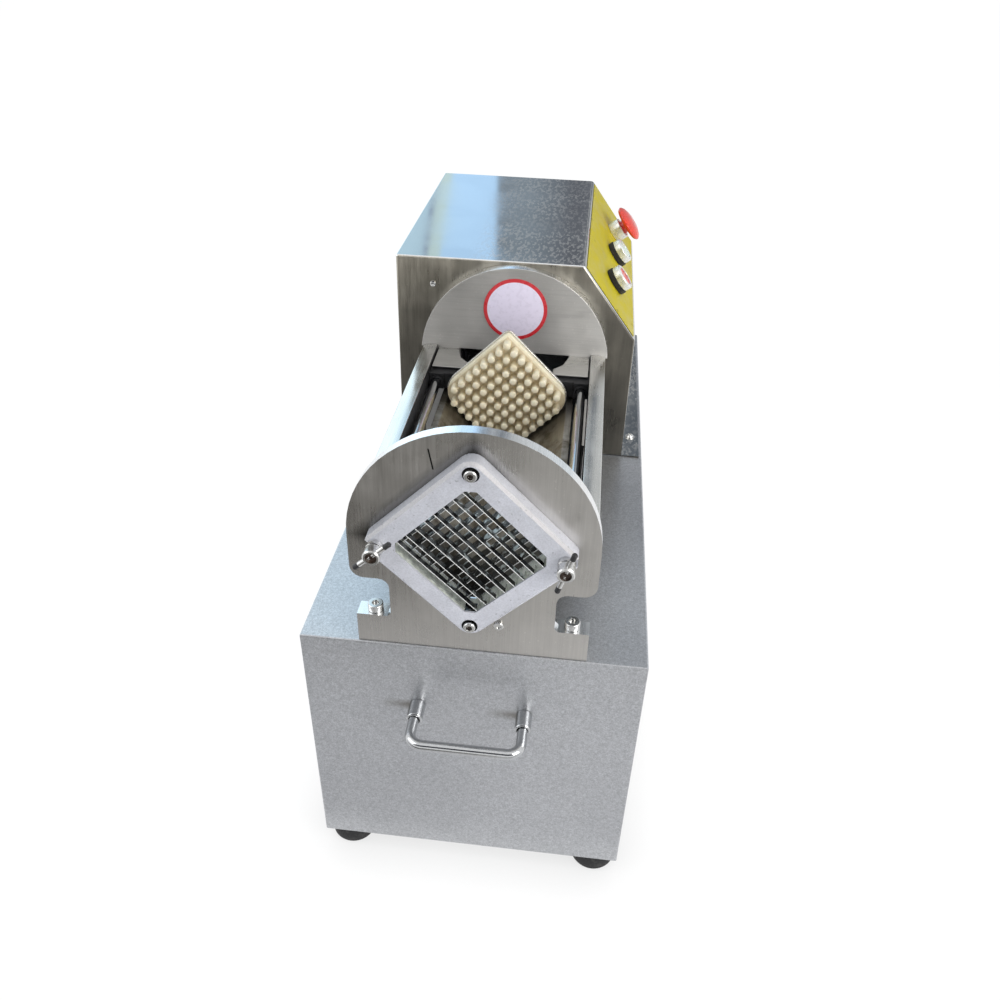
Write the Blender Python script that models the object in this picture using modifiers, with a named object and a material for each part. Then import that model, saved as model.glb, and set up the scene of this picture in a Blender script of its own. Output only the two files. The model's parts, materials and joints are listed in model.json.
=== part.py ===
"""French fry cutter: a benchtop machine that pushes a potato through a blade grid.

Metres, +Z up, the front faces -Y. The part stands on z = 0 with the middle of its outer box at the
origin. Sizes along the machine count from the base's front, so one empty carries every piece.
"""

from math import acos, atan2, cos, hypot, pi, radians, sin, sqrt, tan

import bmesh
import bpy
from mathutils import Matrix, Vector

# General
GAP = 0.0003
SHEET = 0.0015
ROOT_HALF = sqrt(0.5)

# Base cabinet
BASE_W = 0.300
BASE_D = 0.675
BASE_H = 0.274
BASE_FLANGE = 0.040
FOOT_R = 0.0225
FOOT_H = 0.022
FOOT_INSET = 0.0238
DECK_Z = FOOT_H + BASE_H

# Front handle
HANDLE_SPAN = 0.096
HANDLE_REACH = 0.045
HANDLE_BAR_R = 0.0049
HANDLE_BEND_R = 0.012
HANDLE_DROP = 0.0718
FERRULE_R = 0.0073
FERRULE_L = 0.0185

# Front plate and the axis that the cutting square, the pusher and the trough share
AXIS_RISE = 0.114
FRONT_Y = 0.002
FRONT_T = 0.010
HEAD_R = 0.1003
HEAD_DROP = 0.044
HEAD_CORNER_R = 0.011
NECK_HALF = 0.0685
NECK_FILLET = 0.009
FOOT_BAR_HALF = 0.0975
FOOT_BAR_H = 0.0296
FOOT_BAR_D = 0.016
FOOT_BOLT_X = 0.083

# Blade grid
PITCH = 0.0103
BLADE_T = 0.0006
BLADES = 8
BLADE_EDGE = 0.00016
BLADE_ROOT = 0.0015
BLADE_INSET = 0.0010
BLADE_GRIND = 0.0020
FRAME_WALL = 0.0037
FRAME_IN = 0.0463
FRAME_IN_CUT = 0.0606
REAR_IN_CUT = 0.0630
REAR_BLADE_REACH = 0.0044
REAR_LIP = 0.0015

# Blade holder
HOLDER_T = 0.014
HOLDER_HALF = 0.0624
HOLDER_CORNER_R = 0.012
HOLDER_CHAMFER = 0.0025
HOLDER_LIP = 0.0018
WINDOW_HALF = 0.0446
WINDOW_CUT = 0.0585
PIN_REACH = 0.0732
PIN_HEAD_R = 0.0050
PIN_POCKET_R = 0.0066
PIN_POCKET_D = 0.0030
STUD_R = 0.0030
STUD_REACH = 0.0065
NUT_R = 0.0070
NUT_L = 0.0152
TBAR_R = 0.00225
TBAR_L = 0.0400
TBAR_ANGLES = {"left": 42.0, "right": 73.0}

# Rails, guide rods and feed trough
RAIL_IN = 0.0817
RAIL_W = 0.0153
RAIL_RISE = 0.0158
RAIL_H = 0.045
RAIL_SLOPE = 0.0022
ROD_X = 0.0740
ROD_R = 0.005
ROD_SOCKET = 0.0062
TROUGH_CLEAR = 0.0013
TROUGH_DROP = 0.0107
TROUGH_EDGE = 0.0672
TROUGH_SHORT = 0.006
CRADLE_T = 0.003
CRADLE_DROP = 0.018
CRADLE_H = 0.062
CRADLE_Y = 0.190

# Rear plate and rod guards
REAR_Y = 0.322
REAR_T = 0.012
REAR_R = 0.0995
REAR_RISE = 0.0045
REAR_STEP_RISE = 0.0125
REAR_LEG_OUT = 0.0965
PORTAL_HALF = 0.0748
PORTAL_DROP = 0.0075
NOTCH_HALF = 0.0585
GUARD_L = 0.045
GUARD_IN = 0.044
GUARD_KNEE = 0.0535
GUARD_KNEE_L = 0.022
GUARD_SHOULDER_L = 0.0335
GUARD_FLAP = 0.012
DISC_R = 0.033
DISC_RISE = 0.056
DISC_T = 0.0004

# Housing
HOUSE_D = 0.3142
HOUSE_HALF = 0.1264
HOUSE_H = 0.2204
CHAMFER_X = 0.0676
CHAMFER_H = 0.0766
HOUSE_FLANGE = 0.020
HOUSE_BEND = 0.0018
SCREW_HOLE_R = 0.0024
SCREW_YS = (0.0432, 0.2997)

# Controls on the sloping panel: places from the housing's front and down the slope
LABEL_T = 0.0004
LABEL_EDGE = 0.0035
PANEL_HOLE_R = 0.0114
NECK_R = 0.0111
NECK_L = 0.012
CONTROLS = {"stop": (0.0737, 0.0545), "start": (0.1607, 0.0545), "estop": (0.2307, 0.0500)}
BUTTON_BLOCK_HALF = 0.014
BUTTON_BLOCK_L = 0.040
ESTOP_BLOCK_HALF = 0.016
ESTOP_BLOCK_L = 0.048
GASKET_R = 0.0152
GASKET_T = 0.0055
BEZEL_R = 0.0142
BEZEL_H = 0.0080
CAP_R = 0.0102
CAP_TRAVEL = 0.003
CAP_SUNK = {"stop": 0.0012, "start": 0.0002}
COLLAR_R = 0.0125
COLLAR_H = 0.0135
PLUNGER_R = 0.0080
MUSHROOM_R = 0.0218
MUSHROOM_H = 0.0100
ESTOP_TRAVEL = 0.004

# Pusher and carriage at the back of the stroke
PEG_R = 0.0029
PEG_L = 0.012
PUSHER_BACK = 0.087
PEG_ROOT = 0.003
PEGS_FROM_MIDDLE = 4
BLOCK_T = 0.0057
BLOCK_HALF = 0.0480
PLATE_T = 0.0030
PUSHER_RIM = 0.0012
PUSHER_SIDE_R = 0.0206
PUSHER_TIP_R = 0.0040
CARRIAGE_GAP = 0.012
BAR_T = 0.012
SLIDER_L = 0.030
SLIDER_W = 0.015
SLIDER_RISE = 0.0096
SLIDER_DROP = 0.0075
HUB_HALF = 0.020
HUB_DROP = 0.0335
HUB_TAIL = 0.014
BUSH_R = 0.0065
RACK_PIN_R = 0.005
RACK_PIN_IN = 0.017
RACK_END = 0.011

# Rack drive
TRAVEL = 0.224
MODULE = 0.002
PINION_TEETH = 24
PRESSURE = radians(20)
ADDENDUM = 0.0018
DEDENDUM = 0.0024
BACKLASH = 0.0002
RACK_HALF = 0.010
RACK_DROP = 0.024
RACK_T = 0.012
PINION_IN = 0.0377
PINION_HUB_R = 0.017
PINION_HUB_L = 0.022
SHAFT_R = 0.0125
GUIDE_HALF = 0.020
GUIDE_T = 0.0077
GEAR_LEFT = 0.085
GEAR_RIGHT = 0.060
GEAR_HALF = 0.065
GEAR_DEEP = 0.126
GEAR_NOSE = 0.012
GEAR_HEAD_R = 0.055
MOTOR_OFFSET = 0.030
MOTOR_DROP = 0.071
MOTOR_R = 0.058
MOTOR_L = 0.190
MOTOR_RIBS = 20
MOTOR_RIB_H = 0.007
MOTOR_SHAFT_R = 0.007
FAN_R = 0.046
COVER_L = 0.034

# Small fittings
SIDES = {"left": -1, "right": 1}
BOLT_HOLE_R = 0.0044
NUT_FLAT_R = 0.0068
NUT_H = 0.0065
SLOT_W = 0.005
GLAND_IN = 0.055
GLAND_Z = 0.070
GLAND_R = 0.008
GLAND_OUT = 0.020
CONTACTOR_W = 0.065
CONTACTOR_L = 0.110
CONTACTOR_H = 0.075
CONTACTOR_IN = 0.055
CONTACTOR_Y = 0.080

# Worked out from the above
HANDLE_Z = DECK_Z - HANDLE_DROP
AXIS_Z = DECK_Z + AXIS_RISE
HEAD_LOW_Z = AXIS_Z - HEAD_DROP
RAIL_TOP = AXIS_Z + RAIL_RISE
TROUGH_TOP = AXIS_Z - TROUGH_DROP
TROUGH_END = REAR_Y - TROUGH_SHORT
CRADLE_TOP = AXIS_Z - CRADLE_DROP
CRADLE_LOW = CRADLE_TOP - CRADLE_H
REAR_AXIS_Z = AXIS_Z + REAR_RISE
REAR_STEP_Z = AXIS_Z + REAR_STEP_RISE
PORTAL_TOP = AXIS_Z - PORTAL_DROP
GUARD_Y = REAR_Y - GUARD_L
GUARD_CORNERS = ((GUARD_KNEE, REAR_Y - GUARD_KNEE_L), (GUARD_IN, REAR_Y - GUARD_SHOULDER_L))
DISC_Z = REAR_AXIS_Z + DISC_RISE
HOUSE_Y = REAR_Y + REAR_T + GAP
HOUSE_TOP = DECK_Z + HOUSE_H
CHAMFER_Z = HOUSE_TOP - CHAMFER_H
PEG_END_Y = REAR_Y - PUSHER_BACK
SLIDER_TOP = AXIS_Z + SLIDER_RISE
SLIDER_LOW = AXIS_Z - SLIDER_DROP
HUB_LOW = AXIS_Z - HUB_DROP
RACK_LOW = AXIS_Z - RACK_DROP
PINION_Y = HOUSE_Y + PINION_IN
FRONT_BACK = FRONT_Y + FRONT_T
HOLDER_FRONT = FRONT_Y - HOLDER_T
FRAME_OUT = FRAME_IN + FRAME_WALL
CORNER_WALL = FRAME_WALL * 0.86
BLOCK_FRONT = PEG_END_Y + PEG_L
BLOCK_BACK = BLOCK_FRONT + BLOCK_T
PLATE_BACK = BLOCK_BACK + GAP + PLATE_T
BAR_FRONT = PLATE_BACK + CARRIAGE_GAP
RACK_PIN_Y = BAR_FRONT + RACK_PIN_IN
RACK_FRONT = RACK_PIN_Y - RACK_END
RACK_TOP = RACK_LOW + RACK_T
PINION_R = MODULE * PINION_TEETH / 2
PINION_X = -RACK_HALF - PINION_R
GEAR_X = (PINION_X - GEAR_LEFT, PINION_X + GEAR_RIGHT)
GEAR_Y = (PINION_Y - GEAR_HALF, PINION_Y + GEAR_HALF)
GEAR_LOW = DECK_Z - GEAR_DEEP
MOTOR_X = PINION_X - MOTOR_OFFSET
MOTOR_Z = DECK_Z - MOTOR_DROP
GLAND_X = GLAND_IN - BASE_W / 2
PLATE_HALF = BLOCK_HALF + PUSHER_RIM
TROUGH_HALF = PLATE_HALF + TROUGH_CLEAR
TROUGH_APEX = AXIS_Z - TROUGH_HALF * sqrt(2)
HOUSE_BACK = HOUSE_Y + HOUSE_D
MIDDLE_Y = (BASE_D + GAP + GLAND_OUT - HANDLE_REACH - HANDLE_BAR_R) / 2
SLOPE = Vector((HOUSE_HALF - CHAMFER_X, 0, CHAMFER_Z - HOUSE_TOP))
PANEL_TILT = atan2(-SLOPE.z, SLOPE.x)
ALONG = {
    "X": Matrix.Rotation(pi / 2, 4, "Y"),
    "Y": Matrix.Rotation(-pi / 2, 4, "X"),
    "Z": Matrix.Identity(4),
}

for old in list(bpy.data.objects):
    bpy.data.objects.remove(old)
PARTS = bpy.data.collections.new("french_fry_cutter")
CUTTERS = bpy.data.collections.new("cutters")
bpy.context.scene.collection.children.link(PARTS)
bpy.context.scene.collection.children.link(CUTTERS)
CUTTERS.hide_render = True


# Helpers

def finish_of(name, colour, roughness, metallic):
    """A Principled BSDF of its own for one sub-part."""
    material = bpy.data.materials.new(name + "_finish")
    material.use_nodes = True
    shader = material.node_tree.nodes["Principled BSDF"]
    shader.inputs["Base Color"].default_value = (*colour, 1)
    shader.inputs["Roughness"].default_value = roughness
    shader.inputs["Metallic"].default_value = metallic
    return material


STEEL = ((0.62, 0.62, 0.61), 0.32, 1.0)
SATIN = ((0.66, 0.70, 0.74), 0.42, 1.0)
CAST = ((0.78, 0.78, 0.83), 0.45, 1.0)
CHROME = ((0.85, 0.85, 0.86), 0.08, 1.0)
BLADE = ((0.80, 0.80, 0.80), 0.20, 1.0)
BLACK = ((0.020, 0.020, 0.022), 0.50, 0.0)
DARK_STEEL = ((0.06, 0.06, 0.065), 0.40, 0.8)
RUBBER = ((0.015, 0.015, 0.015), 0.75, 0.0)
NYLON = ((0.80, 0.74, 0.55), 0.50, 0.0)
IRON = ((0.16, 0.20, 0.24), 0.55, 0.3)
YELLOW = ((0.78, 0.66, 0.03), 0.35, 0.0)
RED = ((0.72, 0.05, 0.03), 0.30, 0.0)
PALE_GREEN = ((0.66, 0.80, 0.68), 0.30, 0.0)
PALE = ((0.85, 0.85, 0.88), 0.35, 0.0)
CAP_FINISH = {"stop": RED, "start": PALE_GREEN}


def object_of(name, shape, finish=None, parent=None, location=(0, 0, 0), smooth=True):
    """Makes one object of a bmesh; without a finish it is a cutter or a piece to join."""
    mesh = bpy.data.meshes.new(name)
    bmesh.ops.recalc_face_normals(shape, faces=shape.faces)
    shape.to_mesh(mesh)
    shape.free()
    thing = bpy.data.objects.new(name, mesh)
    thing.location = location
    thing.parent = parent or MACHINE
    if finish:
        mesh.materials.append(finish_of(name, *finish))
        PARTS.objects.link(thing)
    else:
        CUTTERS.objects.link(thing)
        thing.hide_render = True
        thing.display_type = "WIRE"
    if smooth:
        mesh.shade_smooth()
        mesh.set_sharp_from_angle(angle=radians(35))
    return thing


def axis_empty(name, location, tilt=0.0, parent=None):
    """An empty on a joint's axis, for the pieces that move with it."""
    empty = bpy.data.objects.new(name, None)
    empty.empty_display_size = 0.02
    empty.location = location
    empty.rotation_euler = (0, tilt, 0)
    empty.parent = parent or MACHINE
    PARTS.objects.link(empty)
    return empty


def box(low, high, shape=None):
    """A block from its low corner to its high one."""
    shape = shape or bmesh.new()
    low, high = Vector(low), Vector(high)
    size = Matrix.Diagonal((*(high - low), 1))
    bmesh.ops.create_cube(shape, size=1, matrix=Matrix.Translation((low + high) / 2) @ size)
    return shape


def rod(radius, start, length, axis="Y", segments=24, shape=None):
    """A round bar from its start point along an axis."""
    shape = shape or bmesh.new()
    middle = Vector(start) + ALONG[axis].to_3x3() @ Vector((0, 0, length / 2))
    place = Matrix.Translation(middle) @ ALONG[axis]
    bmesh.ops.create_cone(shape, cap_ends=True, segments=segments, radius1=radius,
                          radius2=radius, depth=length, matrix=place)
    return shape


def turned(name, profile, finish=None, place=(0, 0, 0), axis="Z", parent=None, segments=24):
    """A closed profile of (radius, height) points turned about an axis through its place."""
    loop = list(zip(profile, profile[1:] + profile[:1]))
    if sum(a[0] * b[1] - b[0] * a[1] for a, b in loop) > 0:
        profile = profile[::-1]
    shape = bmesh.new()
    points = [shape.verts.new((r, 0, h)) for r, h in profile]
    for a, b in zip(points, points[1:] + points[:1]):
        if a.co.x > 0 or b.co.x > 0:
            shape.edges.new((a, b))
    thing = object_of(name, shape, finish, parent, place, smooth=False)
    thing.rotation_euler = ALONG[axis].to_euler()
    screw = thing.modifiers.new("turn", "SCREW")
    screw.steps = screw.render_steps = segments
    screw.use_merge_vertices = True
    screw.merge_threshold = 0.00005
    return thing


def prism(outline, start, end, axis="Y", chamfer=0.0):
    """An outline run out between two planes; the first end may be chamfered.

    The outline is in (y, z) for axis X, in (x, z) for axis Y and in (x, y) for axis Z.
    """
    shape = bmesh.new()
    step = chamfer if end > start else -chamfer

    def at(point, height):
        spots = {"X": (height, *point), "Y": (point[0], height, point[1]), "Z": (*point, height)}
        return spots[axis]

    first = shape.faces.new([shape.verts.new(at(p, start + step)) for p in outline])
    run = Vector(at((0, 0), end - start - step))
    grown = bmesh.ops.extrude_face_region(shape, geom=[first], use_keep_orig=True)
    bmesh.ops.translate(shape, vec=run, verts=[v for v in grown["geom"] if isinstance(v, bmesh.types.BMVert)])
    bmesh.ops.recalc_face_normals(shape, faces=shape.faces)
    if chamfer:
        bmesh.ops.inset_individual(shape, faces=[first], thickness=chamfer, depth=chamfer)
    return shape


def arc(centre, radius, first, last, steps):
    """Points of an arc, in degrees, both ends included."""
    turns = [radians(first + (last - first) * i / steps) for i in range(steps + 1)]
    return [(centre[0] + radius * cos(t), centre[1] + radius * sin(t)) for t in turns]


def diamond(half, cut):
    """A square on its corner about the machine's axis, its corners cut off flat."""
    corner = half * sqrt(2)
    side = corner - cut
    flats = []
    for turn in range(4):
        angle = turn * pi / 2
        for away in (-side, side):
            x, z = cut * cos(angle) - away * sin(angle), cut * sin(angle) + away * cos(angle)
            flats.append((x, AXIS_Z + z))
    return flats


def boolean(thing, other, kind="DIFFERENCE"):
    modifier = thing.modifiers.new(kind.lower(), "BOOLEAN")
    modifier.operation = kind
    modifier.solver = "EXACT"
    modifier.object = other
    return thing


def cut(thing, *shapes):
    """Cuts each shape out of the thing."""
    for index, shape in enumerate(shapes):
        boolean(thing, object_of(f"{thing.name}_cut_{index}", shape, parent=thing.parent))
    return thing


def join(thing, *shapes):
    """Makes each shape one body with the thing."""
    for index, shape in enumerate(shapes):
        boolean(thing, object_of(f"{thing.name}_add_{index}", shape, parent=thing.parent), "UNION")
    return thing


def bevelled(thing, width, segments=1):
    modifier = thing.modifiers.new("edges", "BEVEL")
    modifier.width = width
    modifier.segments = segments
    modifier.angle_limit = radians(40)
    return thing


# Base

def base_cabinet():
    half = BASE_W / 2
    shell = object_of("base_cabinet", box((-half, 0, FOOT_H), (half, BASE_D, DECK_Z)), SATIN)
    bevelled(shell, 0.0015, 2)
    wall = Vector((half - SHEET, BASE_D - SHEET, DECK_Z - SHEET))
    hollow = box((-wall.x, SHEET, FOOT_H + SHEET), wall)
    mouth = box((BASE_FLANGE - half, BASE_FLANGE, 0), (half - BASE_FLANGE, BASE_D - BASE_FLANGE, DECK_Z / 2))
    holes = rod(SHAFT_R + 0.010, (PINION_X, PINION_Y, DECK_Z - 0.01), 0.02, "Z", 32)
    for side in (-1, 1):
        rod(BOLT_HOLE_R, (side * FOOT_BOLT_X, foot_bolt_y(), DECK_Z - 0.01), 0.02, "Z", 16, holes)
    for x, y in foot_spots().values():
        rod(BOLT_HOLE_R, (x, y, 0), 0.04, "Z", 16, holes)
    rod(GLAND_R + 0.0004, (GLAND_X, BASE_D - 0.01, GLAND_Z), 0.02, "Y", 20, holes)
    for row in range(6):
        z = 0.110 + row * 0.014
        box((-0.045, BASE_D - 0.01, z), (0.045, BASE_D + 0.01, z + SLOT_W), holes)
    cut(shell, hollow, mouth, holes)


def foot_spots():
    x = BASE_W / 2 - FOOT_INSET
    ends = {"front": FOOT_INSET, "rear": BASE_D - FOOT_INSET}
    return {f"{end}_{name}": (side * x, y) for end, y in ends.items() for name, side in SIDES.items()}


def base_bottom_plate():
    half = BASE_W / 2 - BASE_FLANGE + 0.006
    low = FOOT_H + SHEET + GAP
    inset = BASE_FLANGE - 0.006
    sheet = box((-half, inset, low), (half, BASE_D - inset, low + SHEET))
    plate = object_of("base_bottom_plate", sheet, STEEL)
    slots = bmesh.new()
    for row in range(5):
        y = 0.300 + row * 0.030
        box((-0.060, y, 0), (0.060, y + SLOT_W, 0.05), slots)
    cut(plate, slots)


def feet():
    """Rubber feet, each with its bonded stud and nut through the cabinet's flange."""
    top = FOOT_H - GAP
    stud = BOLT_HOLE_R - 0.0004
    nut = FOOT_H + SHEET + GAP
    rim, recess_r, recess = 0.003, 0.009, 0.0065
    profile = [(0, nut + 0.010), (stud, nut + 0.010), (stud, nut + NUT_H), (NUT_FLAT_R, nut + NUT_H)]
    profile += [(NUT_FLAT_R, nut), (stud, nut), (stud, top), (FOOT_R - rim, top), (FOOT_R, top - rim)]
    profile += [(FOOT_R, FOOT_H * 0.4), (FOOT_R - rim, rim), (FOOT_R - 2 * rim, 0)]
    profile += [(recess_r, 0), (recess_r, recess), (0, recess)]
    for name, (x, y) in foot_spots().items():
        turned(f"foot_{name}", profile, RUBBER, (x, y, 0), segments=18)


def handle():
    """A chrome U bar whose ends stand in two ferrules."""
    x, bend = HANDLE_SPAN / 2, HANDLE_BEND_R
    path = [(-x, -GAP)]
    path += arc((bend - x, bend - HANDLE_REACH), bend, 180, 270, 6)
    path += arc((x - bend, bend - HANDLE_REACH), bend, 270, 360, 6)
    path += [(x, -GAP)]
    curve = bpy.data.curves.new("handle_bar", "CURVE")
    curve.dimensions = "3D"
    curve.bevel_depth = HANDLE_BAR_R
    curve.bevel_resolution = 3
    curve.use_fill_caps = True
    spline = curve.splines.new("POLY")
    spline.points.add(len(path) - 1)
    for point, (px, py) in zip(spline.points, path):
        point.co = (px, py, 0, 1)
    bar = bpy.data.objects.new("handle_bar", curve)
    bar.location = (0, 0, HANDLE_Z)
    bar.parent = MACHINE
    bar.modifiers.new("caps", "WELD").merge_threshold = 0.00005
    curve.materials.append(finish_of("handle_bar", *CHROME))
    PARTS.objects.link(bar)
    bore, rim = HANDLE_BAR_R + GAP, 0.001
    sleeve = [(bore, -GAP), (FERRULE_R, -GAP), (FERRULE_R, rim - FERRULE_L), (FERRULE_R - rim, -FERRULE_L),
              (bore, -FERRULE_L)]
    for name, side in SIDES.items():
        turned(f"handle_ferrule_{name}", sleeve, CHROME, (side * x, 0, HANDLE_Z), "Y")


# Front plate and blade grid

def foot_bolt_y():
    return FRONT_Y + FOOT_BAR_D / 2


def front_plate():
    """A round head on a neck that spreads to a bolted foot bar."""
    floor = DECK_Z + GAP
    top = floor + FOOT_BAR_H
    corner, fillet = HEAD_CORNER_R, NECK_FILLET
    side = arc((0, AXIS_Z), HEAD_R, 90, 0, 16)
    side += arc((HEAD_R - corner, HEAD_LOW_Z + corner), corner, 0, -90, 5)
    side += arc((NECK_HALF + fillet, HEAD_LOW_Z - fillet), fillet, 90, 180, 4)
    side += [(NECK_HALF, top + 0.003), (NECK_HALF + 0.003, top), (FOOT_BAR_HALF, top), (FOOT_BAR_HALF, floor)]
    outline = side + [(-x, z) for x, z in reversed(side[1:])]
    plate = object_of("front_plate", prism(outline, FRONT_Y, FRONT_BACK), STEEL)
    foot = [(-FOOT_BAR_HALF, floor), (FOOT_BAR_HALF, floor), (FOOT_BAR_HALF, top), (-FOOT_BAR_HALF, top)]
    join(plate, prism(foot, FRONT_Y + 0.004, FRONT_Y + FOOT_BAR_D))
    cut(plate,
        prism(diamond(FRAME_IN, REAR_IN_CUT), -0.05, 0.05),
        prism(diamond(FRAME_OUT + GAP, REAR_IN_CUT + CORNER_WALL + GAP), -0.05, FRONT_BACK - REAR_LIP),
        front_bores())
    return plate


def front_bores():
    """Bores for the guide rods and their threaded ends, the holder's screws and the foot bolts."""
    shape = bmesh.new()
    for side in (-1, 1):
        rod(ROD_R + GAP, (side * ROD_X, FRONT_BACK - ROD_SOCKET, AXIS_Z), 0.02, "Y", 24, shape)
        rod(STUD_R + GAP, (side * ROD_X, FRONT_Y - 0.01, AXIS_Z), 0.02, "Y", 16, shape)
        rod(STUD_R + GAP, (0, FRONT_Y - 0.01, AXIS_Z + side * PIN_REACH), 0.008 + FRONT_T, "Y", 16, shape)
        rod(BOLT_HOLE_R, (side * FOOT_BOLT_X, foot_bolt_y(), DECK_Z - 0.01), 0.06, "Z", 16, shape)
    return shape


def front_plate_bolts():
    """Socket screws down through the foot bar, with their nuts under the deck."""
    head = DECK_Z + GAP + FOOT_BAR_H + GAP
    low = DECK_Z - SHEET - GAP
    shank = BOLT_HOLE_R - 0.0004
    rim, socket_r, radius, high = 0.0006, 0.0030, 0.0066, 0.0065
    profile = [(0, head + high / 2), (socket_r, head + high / 2), (socket_r, head + high)]
    profile += [(radius - rim, head + high), (radius, head + high - rim), (radius, head), (shank, head)]
    profile += [(shank, low), (NUT_FLAT_R, low), (NUT_FLAT_R, low - NUT_H), (0, low - NUT_H)]
    for name, side in SIDES.items():
        place = (side * FOOT_BOLT_X, foot_bolt_y(), 0)
        turned(f"front_plate_bolt_{name}", profile, STEEL, place, segments=18)


def blade_holder():
    """The cast square that clamps the grid: bevelled rim, window, screw pockets and open clamp slots."""
    centre = (HOLDER_HALF - HOLDER_CORNER_R) * sqrt(2)
    outline = []
    for angle in (0, 90, 180, 270):
        middle = (centre * cos(radians(angle)), AXIS_Z + centre * sin(radians(angle)))
        outline += arc(middle, HOLDER_CORNER_R, angle - 45, angle + 45, 6)
    casting = prism(outline, HOLDER_FRONT, FRONT_Y - GAP, chamfer=HOLDER_CHAMFER)
    holder = object_of("blade_holder", casting, CAST)
    bores, pockets = bmesh.new(), bmesh.new()
    for side in (-1, 1):
        start = (0, HOLDER_FRONT - 0.01, AXIS_Z + side * PIN_REACH)
        rod(STUD_R + 0.0004, start, 0.04, "Y", 16, bores)
        rod(PIN_POCKET_R, start, 0.01 + PIN_POCKET_D, "Y", 20, pockets)
    slots = [prism(clamp_slot(side), HOLDER_FRONT - 0.01, 0.02) for side in (-1, 1)]
    cut(holder,
        prism(diamond(WINDOW_HALF, WINDOW_CUT), -0.05, 0.05),
        prism(diamond(FRAME_OUT + GAP, FRAME_IN_CUT + CORNER_WALL + GAP), HOLDER_FRONT + HOLDER_LIP, 0.05),
        bores, pockets, *slots)


def clamp_slot(side):
    """The outline of a slot that is round about the stud and open at the holder's corner."""
    round_end = arc((side * ROD_X, AXIS_Z), STUD_R + 0.0006, 90, 90 + side * 180, 8)
    return [(side * 0.1, round_end[0][1]), *round_end, (side * 0.1, round_end[-1][1])]


def blade_offsets():
    return [(i - (BLADES - 1) / 2) * PITCH for i in range(BLADES)]


def on_slope(shape, upward):
    """Turns a shape made level about the origin on to one of the square's two slopes."""
    turn = Matrix.Rotation(radians(-45 if upward else 45), 4, "Y")
    bmesh.ops.transform(shape, matrix=Matrix.Translation((0, 0, AXIS_Z)) @ turn, verts=shape.verts)
    return shape


def blade_row(front, back, half_length, upward):
    """One row of blades, each ground thin on the side towards the pusher."""
    row = bmesh.new()
    thick, edge = BLADE_T / 2, BLADE_EDGE / 2
    for offset in blade_offsets():
        section = [(front, offset - thick), (back - BLADE_GRIND, offset - thick), (back, offset - edge),
                   (back, offset + edge), (back - BLADE_GRIND, offset + thick), (front, offset + thick)]
        blade = prism(section, -half_length, half_length, "X")
        piece = bpy.data.meshes.new("blade")
        blade.to_mesh(piece)
        blade.free()
        row.from_mesh(piece)
        bpy.data.meshes.remove(piece)
    return on_slope(row, upward)


def tang_row(front, back, upward):
    """The blades' thinner ends, which are brazed into the frame."""
    row = bmesh.new()
    half, reach = BLADE_T * 0.4, FRAME_IN + BLADE_ROOT
    for offset in blade_offsets():
        box((-reach, front, offset - half), (reach, back, offset + half), row)
    return on_slope(row, upward)


def blade_grid(name, first, last, front, back, corner_cut, upward):
    """A square frame on its corner with its eight blades brazed in, as one set."""
    frame = object_of(name, prism(diamond(FRAME_OUT, corner_cut + CORNER_WALL), first, last), BLADE)
    cut(frame, prism(diamond(FRAME_IN, corner_cut), -0.05, 0.05))
    join(frame, tang_row(first + BLADE_INSET, last - 2 * BLADE_INSET, upward))
    join(frame, blade_row(front, back, WINDOW_HALF - GAP, upward))


def blade_grids():
    """The front set's blades run down to the machine's right, the rear set's across them."""
    seat, end = HOLDER_FRONT + HOLDER_LIP + GAP, FRONT_BACK - REAR_LIP - GAP
    blades = (HOLDER_FRONT + 0.0005, FRONT_Y - 2 * GAP)
    blade_grid("blade_set_front", seat, FRONT_Y - GAP, *blades, FRAME_IN_CUT, False)
    blades = (FRONT_Y + 2 * GAP, end + REAR_BLADE_REACH)
    blade_grid("blade_set_rear", FRONT_Y + GAP, end, *blades, REAR_IN_CUT, True)


def holder_screws():
    """Two socket screws that locate the holder above and below the grid."""
    seat = HOLDER_FRONT + PIN_POCKET_D - GAP
    end = FRONT_Y + FRONT_T - 0.0026
    rim, socket_r, high = 0.0008, 0.0025, 0.006
    profile = [(0, end), (STUD_R, end), (STUD_R, seat), (PIN_HEAD_R, seat), (PIN_HEAD_R, seat + rim - high)]
    profile += [(PIN_HEAD_R - rim, seat - high), (socket_r, seat - high), (socket_r, seat - high / 2)]
    profile.append((0, seat - high / 2))
    for name, side in (("bottom", -1), ("top", 1)):
        turned(f"holder_screw_{name}", profile, STEEL, (0, 0, AXIS_Z + side * PIN_REACH), "Y", segments=18)


def clamp_nuts():
    """The nuts on the guide rods' threaded ends, each with a cross bar for the fingers."""
    bore = STUD_R + GAP
    body = [(bore, -GAP), (NUT_R, -GAP), (NUT_R, 0.001 - NUT_L), (NUT_R - 0.001, -NUT_L), (0, -NUT_L),
            (0, -STUD_REACH - GAP), (bore, -STUD_REACH - GAP)]
    for name, side in SIDES.items():
        axis = axis_empty(f"clamp_{name}_axis", (side * ROD_X, HOLDER_FRONT, AXIS_Z))
        nut = turned(f"clamp_nut_{name}", body, CHROME, axis="Y", parent=axis)
        bar = rod(TBAR_R, (0, 0, -TBAR_L / 2), TBAR_L, "Z", 14)
        lean = Matrix.Rotation(radians(90 - TBAR_ANGLES[name]), 4, "Y")
        bmesh.ops.transform(bar, matrix=Matrix.Translation((0, 0.0035 - NUT_L, 0)) @ lean, verts=bar.verts)
        join(nut, bar)


# Rails, rods and trough

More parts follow.
